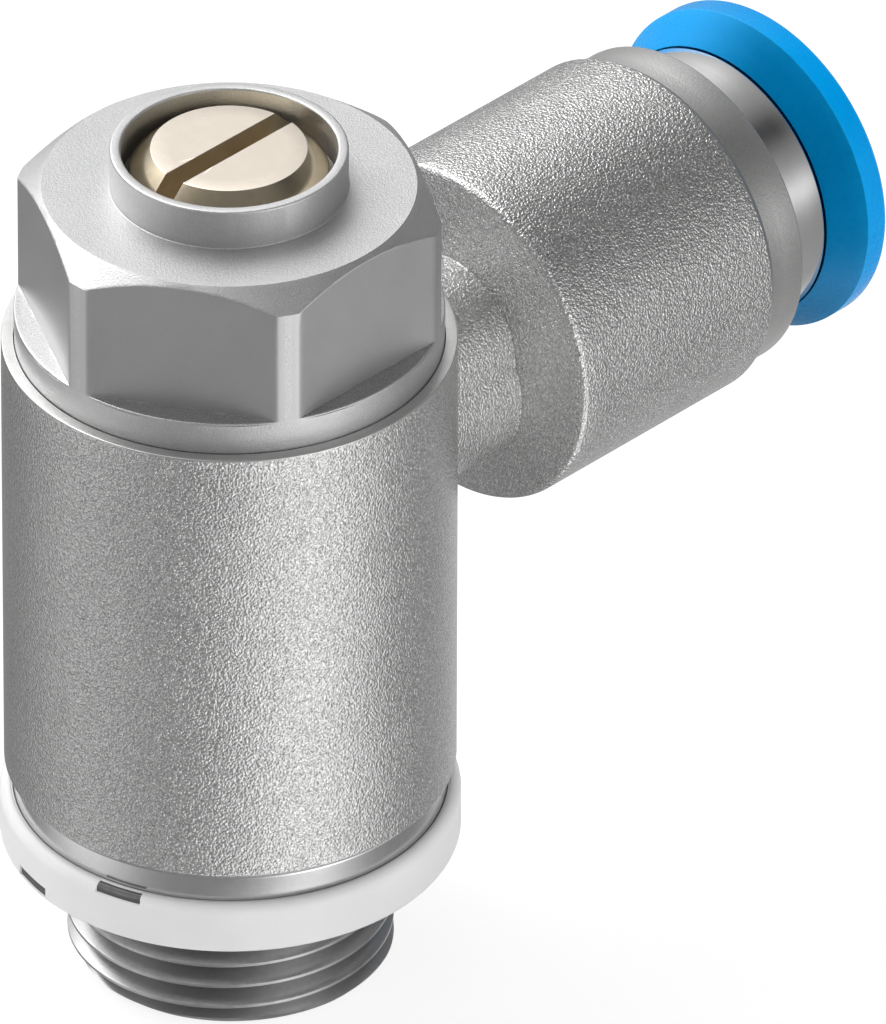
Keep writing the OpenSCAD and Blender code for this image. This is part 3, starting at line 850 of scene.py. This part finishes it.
    def thread(self) -> Patch:
        """Helical thread.

        The rows are one thread outline after another. A row rises by a pitch in one turn, is
        held between the thread's two ends, and its radius is the smaller of the thread outline
        and the chamfer or relief there. The last column is the first, one pitch on.

        Returns:
            Grid of points with one column more than the head's.
        """
        step = np.array([0, 0.05, 0.09, 0.16, 0.26, 0.38, 0.44, 0.5,
                         0.56, 0.62, 0.74, 0.84, 0.91, 0.95])
        share = np.abs(2 * step - 1)
        tooth = np.clip((1 - share - 0.10) / 0.78, 0, 1)
        tooth = np.where(tooth > 0.9, 0.9 + (tooth - 0.9) * 0.6, tooth)
        turns = math.ceil((self.thread_top - PORT_END) / self.pitch) + 1
        start = self.crest_height - self.pitch / 2
        start -= math.ceil((start - PORT_END) / self.pitch + 1) * self.pitch
        place = (np.arange(turns + 1)[:, None] + step[None, :]).ravel() * self.pitch + start
        profile = np.tile(self.root_r + (self.thread_r - self.root_r) * tooth / tooth.max(),
                          turns + 1)
        turn = self.spread(np.array([self.plain_spread]))[0]
        turn = np.append(turn, turn[0] + 360)
        rise = self.pitch * (turn - self.crest_angle) / 360
        height = np.clip(place[:, None] + rise, PORT_END, self.thread_top)
        chamfer = self.end_r + (height - PORT_END) / math.tan(math.radians(self.end_chamfer))
        under = np.clip((self.thread_top - height) / self.relief_run, 0, 9)
        relief = self.root_r + under * self.relief_rise
        radius = np.minimum(np.minimum(profile[:, None], chamfer), relief)
        return Patch(round_grid(radius, np.radians(turn), height), finish=2)

    def build(self) -> Obj:
        """Returns: the dressed bolt."""
        recesses = ((self.groove_r, *self.grooves[0]), (self.waist_r, *self.waist),
                    (self.groove_r, *self.grooves[1]))
        shank = np.array([
            [self.root_r, self.thread_top], [self.root_r, self.seal_floor],
            [self.seat_r, self.seal_floor], [self.seat_r, self.support_top],
            [self.land_r, self.support_top],
            *[corner for radius, low, high in recesses for corner in (
                [self.land_r, low], [radius, low], [radius, high], [self.land_r, high])],
            [self.land_r, self.skirt_z]])
        foot = np.radians(np.linspace(270, 180, 12))
        reach = self.collar_r + self.collar_fillet
        lip = np.radians(np.linspace(0, 90, 6))
        ease = self.lip_round
        collar = np.concatenate([
            columns_of(reach + self.collar_fillet * np.cos(foot),
                       self.hex_top + self.collar_fillet * (1 + np.sin(foot))),
            columns_of(self.collar_r - ease + ease * np.cos(lip),
                       self.rim_z - ease + ease * np.sin(lip)),
            columns_of(self.mouth_r + ease - ease * np.sin(lip),
                       self.rim_z - ease + ease * np.cos(lip)),
            [[self.mouth_r, self.mouth_z], [self.head_bore_r, self.mouth_z - self.mouth_lead],
             [self.head_bore_r, self.head_bore_z]]])
        bore = np.array([
            [self.head_bore_r, self.head_bore_z], [self.screw_bore_r, self.head_bore_z],
            [self.screw_bore_r, self.chamber_top], [self.chamber_r, self.chamber_top],
            [self.chamber_r, self.seat_top], [self.air_bore_r, self.seat_top],
            [self.air_bore_r, PORT_END + self.bore_chamfer],
            [self.air_bore_r + self.bore_chamfer, PORT_END], [self.end_r, PORT_END]])
        patches = [self.head(), self.plain_rows(collar), self.plain_rows(shank),
                   self.plain_rows(bore), self.thread()]
        patches[2].finish = patches[3].finish = 2
        piece = mesh_object("valve_bolt", patches)
        combine(piece, [rod("cross_hole", radius, height, along)
                        for radius, height in self.holes for along in (0, 1)], "DIFFERENCE")
        dress(piece, BLASTED, MILLED, THREADED, LEDGE, index=self.regions(piece))
        return seat(smoothed(piece), Body.BOLT, "bolt_metal", "hollow_bolt")

    def regions(self, piece: Obj) -> Array:
        """Finds the finish of each face.

        A face is milled where its height is between ledge and top, its normal lies level, and
        its middle is as far from the axis as the flats are. It is plainly turned below the skirt
        and inside the bore, and smoother on the ledges at the foot of the flats.

        Args:
            piece: the bolt.

        Returns:
            Number of each face's finish.
        """
        normal, centre = face_data(piece)
        angle = np.radians(np.floor(np.degrees(np.arctan2(centre[:, 1], centre[:, 0])) / 60) * 60
                           + 30)
        away = centre[:, 0] * np.cos(angle) + centre[:, 1] * np.sin(angle)
        milled = ((np.abs(normal[:, 2]) < 0.3) & (centre[:, 2] > self.ledge_z)
                  & (centre[:, 2] < self.hex_top) & (away < self.apothem + 0.02)
                  & (away > self.apothem - 0.2))
        out = np.hypot(centre[:, 0], centre[:, 1])
        turned_part = (centre[:, 2] < self.skirt_z - 0.01) | (out < self.head_bore_r + 0.02)
        ledge = ((normal[:, 2] > 0.9) & (centre[:, 2] > self.ledge_z)
                 & (centre[:, 2] < self.ledge_z + self.ledge_rise + 0.02))
        return np.select([turned_part, milled, ledge], [2, 1, 3], 0)


@dataclass
class RegulatingScrew:
    """Brass screw with a needle, a sealed head and a driver slot, its top painted pale as lit, its
    flanks darker as shade and its slot lighter as light.
    """

    head_r: float = 5.0
    top_z: float = 40.86
    head_z: float = 36.36
    chamfer: float = 1.06
    slot_w: float = 1.2
    slot_depth: float = 2.1
    slot_reach: float = 2.6

    def build(self) -> Obj:
        """Returns: the dressed screw."""
        piece = lathe("valve_screw", [
            [THIN_HOLE, 17.62, 0], [1.6, 17.62, 0.1], [2.85, 20.62, 0.2], [2.85, 24.22, 0.05],
            [3.95, 24.22, 0.1], [3.95, 24.69, 0.05], [3.27, 24.69, 0], [3.27, 25.35, 0],
            [3.95, 25.35, 0.05], [3.95, self.head_z, 0], [self.head_r, self.head_z, 0.15],
            [self.head_r, 37.01, 0.05], [3.85, 37.01, 0.05], [3.85, 38.31, 0.05],
            [self.head_r, 38.31, 0.05], [self.head_r, self.top_z - self.chamfer, 0.12],
            [self.head_r - self.chamfer, self.top_z, 0.07], [THIN_HOLE, self.top_z, 0]],
            1.0, 160, steps=4)
        half, floor = self.slot_w / 2, self.top_z - self.slot_depth
        side = np.array([[-half, floor], [half, floor], [half, 42.0], [-half, 42.0]])
        grid = np.stack(np.broadcast_arrays(np.array([[-7.0], [7.0]]), *side.T), axis=2)
        caps = [Patch(grid[k][[[0, 1], [3, 2]]]) for k in (0, 1)]
        cutter = mesh_object("slot_cutter", [Patch(grid, columns_meet=True), *caps])
        combine(piece, [cutter], "DIFFERENCE")
        bevel = piece.modifiers.new("edges", "BEVEL")
        bevel.width, bevel.segments, bevel.limit_method = 0.05 * MM, 2, "ANGLE"
        bevel.angle_limit = math.radians(50)
        # The top face takes the pale brass painted as lit, the slot takes the lighter copy painted
        # as light, and the flanks take the darker copy painted as shade
        normal, centre = face_data(piece)
        top = (normal[:, 2] > 0.9) & (centre[:, 2] > self.top_z - 0.2)
        slot = (np.hypot(centre[:, 0], centre[:, 1]) < self.slot_reach) & (
            centre[:, 2] > self.head_z)
        dress(piece, BRASS_PAINTED_LIGHT, BRASS_PAINTED_SHADE, SLOT_BRASS_PAINTED_LIGHT, index=np.select([top, slot], [0, 2], 1))
        return seat(smoothed(piece), Body.SCREW, "brass", "regulating_screw")


@dataclass
class SwivelHousing:
    """Die-cast sleeve, neck of two bars, and barrel."""

    sleeve_z: float = 4.52
    sleeve_top: float = 29.67
    low_r: float = 11.501
    top_r: float = 11.5
    rim_round: float = 0.08
    bore_r: float = 9.001
    counterbore_r: float = 10.88
    counterbore_z: float = 28.53
    neck_start: float = 9.601
    neck_r: float = 4.4
    rib_r: float = 4.85
    rib_drop: float = 2.15
    flare: float = 0.06
    low_bore: tuple = (10.7, 4.98)
    barrel_x: float = 16.2
    barrel_r: float = 9.28
    step_x: float = 30.391
    step_r: float = 8.80
    step_bevel: float = 0.25
    barrel_end: float = 32.891
    air_r: float = 3.3
    air_x: float = 1.0
    tube_r: float = 5.05
    tube_x: float = 20.001
    seal_r: float = 6.8
    seal_x: float = 24.601
    press_r: float = 7.46
    press_x: float = 28.391
    pilot_r: float = 2.4
    pilot_x: tuple = (1.4, 24.0)
    pilot_drop: float = 0.6

    @property
    def bevel_x(self) -> float:
        """Returns: where the bevel at the barrel's end starts."""
        return self.step_x - 1.5 * self.step_bevel

    def bar(self, name: str, radius: float, drop: float) -> Obj:
        """Round bar that widens in a hollow round to just inside the barrel's end face.

        Args:
            name: name of the solid.
            radius: radius of the bar.
            drop: distance below the socket's axis.

        Returns:
            The solid.
        """
        face, foot = self.barrel_x + 0.02, radius + self.flare + 0.3
        return lathe(name, [
            [BAR_HOLE, self.neck_start, 0], [radius, self.neck_start, 0],
            [radius, face, self.flare], [foot, face, 0], [foot, face + 0.5, 0],
            [BAR_HOLE, face + 0.5, 0]], 0.8, 144, Axis.SOCKET, drop, 8)

    def build(self) -> Obj:
        """Returns: the dressed housing."""
        piece = lathe("valve_housing", [
            [WIDE_HOLE, self.sleeve_z, 0], [self.low_r, self.sleeve_z, 0.12],
            [self.top_r, self.sleeve_top, self.rim_round], [WIDE_HOLE, self.sleeve_top, 0]],
            1.6, 216)
        barrel = lathe("barrel_solid", [
            [WIDE_HOLE, self.barrel_x, 0], [self.barrel_r, self.barrel_x, 0.35],
            [self.barrel_r, self.bevel_x, 0.05],
            [self.barrel_r - self.step_bevel, self.step_x, 0.03],
            [self.step_r, self.step_x, 0.03], [self.step_r, self.barrel_end, 0.14],
            [WIDE_HOLE, self.barrel_end, 0]], 1.2, 192, Axis.SOCKET)
        combine(piece, [barrel, self.bar("neck_solid", self.neck_r, 0.0),
                        self.bar("rib_solid", self.rib_r, self.rib_drop)], "UNION")
        start, end = self.pilot_x
        pilot = lathe("pilot_cutter", [
            [THIN_HOLE, start, 0], [self.pilot_r, start, 0], [self.pilot_r, end, 0],
            [THIN_HOLE, end, 0]], 1.2, 96, Axis.SOCKET, self.pilot_drop)
        over = self.sleeve_top + 0.6
        inside = lathe("inside_cutter", [
            [THIN_HOLE, self.sleeve_z - 1, 0], [self.low_bore[0], self.sleeve_z - 1, 0],
            [*self.low_bore, 0], [self.bore_r, self.low_bore[1], 0.1],
            [self.bore_r, self.counterbore_z, 0.1],
            [self.counterbore_r, self.counterbore_z, 0.1],
            [self.counterbore_r, self.sleeve_top, 0.02], [self.top_r + 0.1, over, 0],
            [THIN_HOLE, over, 0]], 1.6, 216)
        over = self.barrel_end + 1
        socket = lathe("socket_cutter", [
            [THIN_HOLE, self.air_x, 0], [self.air_r, self.air_x, 0],
            [self.air_r, self.tube_x, 0.1], [self.tube_r, self.tube_x, 0.1],
            [self.tube_r, self.seal_x, 0.1], [self.seal_r, self.seal_x, 0.1],
            [self.seal_r, self.press_x, 0.05], [self.press_r, self.press_x, 0.05],
            [self.press_r, over, 0], [THIN_HOLE, over, 0]], 1.2, 144, Axis.SOCKET)
        combine(piece, [pilot, inside, socket], "DIFFERENCE")
        dress(piece, CAST, TURNED_END, BEVEL, CAST_END_PAINTED_LIGHT, index=self.regions(piece))
        return seat(smoothed(piece, 18.0), Body.SWIVEL, "cast_metal", "swivel_housing")

    def regions(self, piece: Obj) -> Array:
        """Finds the faces of the turned rim, bore and end, the bevel, and the neck's end face,
        which takes a paler copy of the cast finish painted as lit.

        Args:
            piece: the housing.

        Returns:
            Number of each face's finish.
        """
        normal, centre = face_data(piece)
        rim = (centre[:, 2] > self.sleeve_top - self.rim_round - 0.01) & (
            np.abs(centre[:, 0]) < self.top_r + 0.5)
        end = centre[:, 0] > self.bevel_x
        bevel = end & (centre[:, 0] < self.step_x + 0.02)
        inner = np.hypot(centre[:, 0], centre[:, 1]) < self.bore_r + 0.05
        # The neck's end face takes the paler cast copy, painted as lit
        painted_light_face = (normal[:, 0] < -0.98) & (np.abs(centre[:, 0] - self.barrel_x) < 0.05)
        return np.select([bevel, painted_light_face, rim | end | inner], [2, 3, 1], 0)


@dataclass
class SealRing:
    """White ring with pairs of staggered windows, whose insides are painted near-black as shade.
    """

    bore_r: float = 8.431
    outer_r: float = 11.741
    wall_r: float = 11.081
    floor: float = 1.2
    height: float = 2.8
    low_round: float = 0.28
    top_round: float = 0.55
    low_window: tuple = (0.2, 0.78)
    high_window_foot: float = 2.3
    # Top and wall radius of the panel in the upper windows that is painted as shade
    shade_panel_top: float = 2.74
    shade_panel_wall_r: float = 11.2
    depth: float = 0.12
    window_angle: float = 12.5
    low_windows: tuple = (-15.0, 165.0)
    high_windows: tuple = (15.0, 195.0)

    def outline(self) -> tuple[Array, int]:
        """Outline of the ring, with rows close together at the windows' edges.

        At a height, the outer face lies inside its radius by a round's size less the height of
        the round's circle there.

        Returns:
            Closed outline from the foot of the outer face, and its number of outer rows.
        """
        edges = np.array([*self.low_window, self.high_window_foot, self.shade_panel_top])
        place = np.unique(np.round(np.concatenate([
            self.low_round * (1 - np.cos(np.linspace(0, math.pi / 2, 7))),
            self.height - self.top_round * (1 - np.cos(np.linspace(0, math.pi / 2, 11))),
            np.linspace(0.3, 2.2, 7), edges - 0.012, edges + 0.012]), 4))
        low = np.maximum(self.low_round - place, 0)
        high = np.maximum(place - self.height + self.top_round, 0)
        inset = (self.low_round - np.sqrt(np.maximum(self.low_round ** 2 - low ** 2, 0))
                 + self.top_round - np.sqrt(np.maximum(self.top_round ** 2 - high ** 2, 0)))
        outer = columns_of(self.outer_r - inset, place)
        rest = np.array([
            [self.shade_panel_wall_r + 0.012, self.height], [self.shade_panel_wall_r - 0.012, self.height],
            [self.wall_r + 0.04, self.height], [self.wall_r, self.height - 0.04],
            [self.wall_r, self.floor], [self.bore_r, self.floor], [self.bore_r, 0.1],
            [self.bore_r + 0.1, 0.0]])
        return np.vstack([outer, rest]), len(outer)

    def build(self) -> Obj:
        """Makes the ring by rows round the axis.

        Inside a window, the outer face is pressed in by the window's depth, and in an upper window
        the top is pressed down as well, as far in as the wall of the panel painted as shade.

        Returns:
            The dressed ring.
        """
        outline, count = self.outline()
        half = self.window_angle / 2
        middles = np.array([*self.low_windows, *self.high_windows])
        sides = middles[:, None] + np.array([-half, half])
        fine = (sides.ravel()[:, None] + np.array([-0.06, 0.06])).ravel()
        plain = np.linspace(-90, 270, 240, endpoint=False)
        plain = plain[np.abs(plain[:, None] - sides.ravel()).min(axis=1) > 0.3]
        turn = np.sort(np.concatenate([plain, fine]))
        in_low = (np.abs(turn[:, None] - self.low_windows) < half).any(axis=1)
        in_high = (np.abs(turn[:, None] - self.high_windows) < half).any(axis=1)
        radius, place = outline[:, :1], outline[:, 1:]
        outside = radius > self.shade_panel_wall_r
        low = (place > self.low_window[0]) & (place < self.low_window[1]) & outside & in_low
        high = (place > self.high_window_foot) & outside & in_high
        window = low | high
        pressed = np.where(window, np.minimum(radius, self.outer_r - self.depth), radius)
        held = np.where(high, np.minimum(place, self.shade_panel_top), place)
        # The faces inside the windows take the near-black plastic painted as shade
        dark = window
        for side in (0, 1):
            dark = dark & np.roll(dark, -1, axis=side)
        grid = round_grid(pressed, np.radians(turn), held)
        piece = mesh_object("valve_seal_ring", [Patch(grid, True, True, dark.astype(int))])
        dress(piece, WHITE, WINDOW_PAINTED_SHADE)
        return seat(smoothed(piece), Body.BOLT, "white_plastic", "thread_seal_ring")


@dataclass
class TurnedRing:
    """Ring turned from one rounded outline, with a second finish on the faces turned back along -X
    where that is given, which paints shade there.
    """

    name: str
    outline: list
    axis: Axis
    body: Body
    slot: str
    node: str
    finish: Metal | Plastic
    back: Metal | Plastic | None = None
    columns: int = 192
    steps: int = 6

    def build(self) -> Obj:
        """Returns: the dressed ring."""
        piece = lathe(self.name, self.outline, 1.0, self.columns, self.axis, steps=self.steps)
        if self.back is None:
            dress(piece, self.finish)
        else:
            # Faces whose normals point back along -X take the second finish, painted as shade
            dress(piece, self.finish, self.back, index=face_data(piece)[0][:, 0] < -0.3)
        return seat(smoothed(piece), self.body, self.slot, self.node)


SUPPORT = TurnedRing("valve_support_ring", [
    [8.731, 1.23, 0.05], [11.051, 1.23, 0.28], [11.051, 4.24, 0.22], [8.731, 4.24, 0.05]],
    Axis.BOLT, Body.BOLT, "polished_metal", "support_ring", BRIGHT_RING)
CARTRIDGE = TurnedRing("valve_cartridge", [
    [6.75, 28.421, 0.05], [7.43, 28.421, 0.1], [7.43, 36.031, 0.22], [5.90, 36.031, 0.12],
    [5.90, 34.881, 0.1], [6.30, 34.881, 0.05], [6.75, 31.081, 0.1]],
    Axis.SOCKET, Body.SWIVEL, "polished_metal", "cartridge_sleeve", POLISHED)
# The release ring's faces turned back along -X take the darker copy of the blue, painted as shade
RELEASE = TurnedRing("valve_release_ring", [
    [5.15, 34.131, 0.1], [5.95, 34.131, 0.1], [6.15, 34.331, 0.05], [6.15, 34.781, 0.05],
    [5.82, 34.781, 0.05], [5.82, 37.331, 0.1], [7.45, 37.331, 0.03], [7.45, 36.031, 0.01],
    [7.48, 36.031, 0.01], [8.82, 37.701, 0.12], [8.82, 39.131, 0.3], [6.25, 39.131, 0.35],
    [5.15, 37.931, 0.3]],
    Axis.SOCKET, Body.RELEASE, "blue_plastic", "release_ring", BLUE, BLUE_PAINTED_SHADE)

KEPT_NODES = {
    # The throttle seat takes the pale brass that is painted as lit
    "throttle_seat": BRASS_PAINTED_LIGHT, "glide_washer": WASHER, "lower_o_ring": RUBBER,
    "upper_o_ring": RUBBER, "lip_seal": RUBBER, "screw_stop_ring": SPRING,
    "screw_o_ring": RUBBER, "tube_seal": RUBBER, "seal_spacer": SPACER, "grip_collet": SPRING,
}


def dress_nodes() -> None:
    """Puts finished materials on the nodes whose shape stays as packed."""
    for name, finish in KEPT_NODES.items():
        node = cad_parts[name]
        dress(node, *[finish] * max(len(node.data.materials), 1))
        log.info("dressed %s", name)


# Studio


def direction(azimuth: float, elevation: float) -> tuple:
    """Returns: the unit vector at an azimuth from +X and an elevation, in degrees."""
    turn, rise = math.radians(azimuth), math.radians(elevation)
    return (math.cos(turn) * math.cos(rise), math.sin(turn) * math.cos(rise), math.sin(rise))


@dataclass(frozen=True)
class SoftBox:
    """Soft source painted on the sky, or a dark card where its strength is below zero."""

    azimuth: float
    elevation: float
    spread: float
    strength: float


@dataclass
class Studio:
    """Camera, pale floor and soft light."""

    azimuth: float = 46.2
    elevation: float = 33.638
    distance: float = 1.30021
    target: tuple = (0.0138331, -0.0016456, 0.0131519)
    lens: float = 898.0
    roll: float = 0.203
    ambient: float = 0.26
    darkest: float = 0.03
    floor_glow: float = 0.82
    floor_matt: float = 0.26
    boxes: tuple = (
        SoftBox(90, 49, 17, 5.0), SoftBox(64, 8, 15, 0.3), SoftBox(266, -57, 14, 2.1),
        SoftBox(268, -2, 15, 2.3), SoftBox(141, -28, 17, 0.55), SoftBox(160, -8, 15, 0.37),
        SoftBox(20, -36, 14, 0.50), SoftBox(309, 4, 8, 0.4), SoftBox(325, 44, 11, -0.2))
    fills: tuple = (
        ("front_fill", 195.0, 28.0, 0.45, 50.0), ("right_fill", 290.0, 20.0, 0.95, 40.0),
        ("side_key", 110.0, 45.0, 0.5, 12.0))

    def camera(self) -> None:
        """Makes the camera at the photograph's viewing angle."""
        data = bpy.data.cameras.new("camera")
        data.lens, data.sensor_width, data.clip_start, data.clip_end = self.lens, 36.0, 0.2, 50.0
        made = placed("camera", data)
        turn, rise = math.radians(self.azimuth), math.radians(self.elevation)
        look = Vector((math.sin(turn) * math.cos(rise), math.cos(turn) * math.cos(rise),
                       -math.sin(rise)))
        made.location = Vector(self.target) - look * self.distance
        made.rotation_mode = "QUATERNION"
        level = look.to_track_quat("-Z", "Y")
        made.rotation_quaternion = level @ Quaternion((0, 0, 1), math.radians(self.roll))
        bpy.context.scene.camera = made

    def floor(self) -> None:
        """Makes the pale round floor under the port."""
        turn = np.linspace(0, 2 * math.pi, 96, endpoint=False)
        ring = np.array([0.02, 0.2, 2.0, 14.0])[:, None] / MM
        made = mesh_object("floor", [Patch(round_grid(ring, turn, PORT_END - 0.02),
                                           columns_meet=True)])
        square = np.meshgrid([-21.0, 21.0], [-21.0, 21.0])
        middle = mesh_object("floor_middle", [Patch(
            np.stack([*square, np.full((2, 2), PORT_END - 0.03)], axis=2))])
        material = bpy.data.materials.new("pale_floor")
        material.use_nodes = True
        nodes = Nodes(material.node_tree)
        cloth = nodes.tint(nodes.noise(40.0, 2.0), grey(0.86), grey(0.88))
        plain = nodes.add("ShaderNodeBsdfDiffuse", {"Color": cloth})
        lit = nodes.add("ShaderNodeEmission", {"Color": (1, 1, 1, 1), "Strength": self.floor_glow})
        half = nodes.add("ShaderNodeBsdfDiffuse", {"Color": (*grey(self.floor_matt), 1)})
        seen = nodes.add("ShaderNodeAddShader")
        nodes.feed(seen.inputs[0], lit.outputs[0])
        nodes.feed(seen.inputs[1], half.outputs[0])
        path = nodes.add("ShaderNodeLightPath")
        direct = nodes.maths("MAXIMUM", path.outputs["Is Camera Ray"],
                             nodes.maths("MAXIMUM", path.outputs["Is Glossy Ray"],
                                         path.outputs["Is Transmission Ray"]))
        mixed = nodes.add("ShaderNodeMixShader", {"Fac": direct})
        nodes.feed(mixed.inputs[1], plain.outputs[0])
        nodes.feed(mixed.inputs[2], seen.outputs[0])
        output = nodes.add("ShaderNodeOutputMaterial")
        nodes.feed(output.inputs["Surface"], mixed.outputs[0])
        for part in (made, middle):
            part.data.materials.append(material)
            part.visible_glossy = False

    def sky(self) -> None:
        """Paints the soft sources on the world.

        Each source adds its strength times e to the power of the cosine of the angle from its
        middle less one, over the square of its spread.
        """
        world = bpy.data.worlds.new("studio")
        bpy.context.scene.world = world
        world.use_nodes = True
        nodes = Nodes(world.node_tree)
        look = nodes.add("ShaderNodeTexCoord").outputs["Generated"]
        total: object = self.ambient
        for box in self.boxes:
            cosine = nodes.add("ShaderNodeVectorMath", operation="DOT_PRODUCT")
            nodes.feed(cosine.inputs[0], look)
            cosine.inputs[1].default_value = direction(box.azimuth, box.elevation)
            tight = 1 / math.radians(box.spread) ** 2
            power = nodes.maths("MULTIPLY_ADD", cosine.outputs["Value"], tight, -tight)
            total = nodes.maths("MULTIPLY_ADD", nodes.maths("EXPONENT", power), box.strength,
                                total)
        total = nodes.maths("MAXIMUM", total, self.darkest)
        light = nodes.add("ShaderNodeBackground", {"Color": (1, 1, 1, 1), "Strength": total})
        output = nodes.add("ShaderNodeOutputWorld")
        nodes.feed(output.inputs["Surface"], light.outputs[0])

    def fill(self) -> None:
        """Makes the soft lamps for plastics, which the metals don't mirror."""
        for name, azimuth, elevation, strength, spread in self.fills:
            data = bpy.data.lights.new(name, "SUN")
            data.energy, data.angle = strength, math.radians(spread)
            lamp = placed(name, data)
            towards = Vector(direction(azimuth, elevation))
            lamp.rotation_mode = "QUATERNION"
            lamp.rotation_quaternion = towards.to_track_quat("Z", "Y")
            lamp.visible_glossy = False

    def build(self) -> None:
        """Makes the camera, the floor and the light."""
        self.camera()
        self.floor()
        self.sky()
        self.fill()
        bpy.context.scene.view_settings.view_transform = "Standard"


def main() -> None:
    """Builds the studio and the pieces in order."""
    logging.basicConfig(level=logging.INFO, format="%(message)s")
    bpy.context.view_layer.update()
    Studio().build()
    for part in (HollowBolt(), SUPPORT, SealRing(), RegulatingScrew(), SwivelHousing(), CARTRIDGE,
                 RELEASE):
        part.build()
    dress_nodes()


if __name__ == "__main__":
    main()
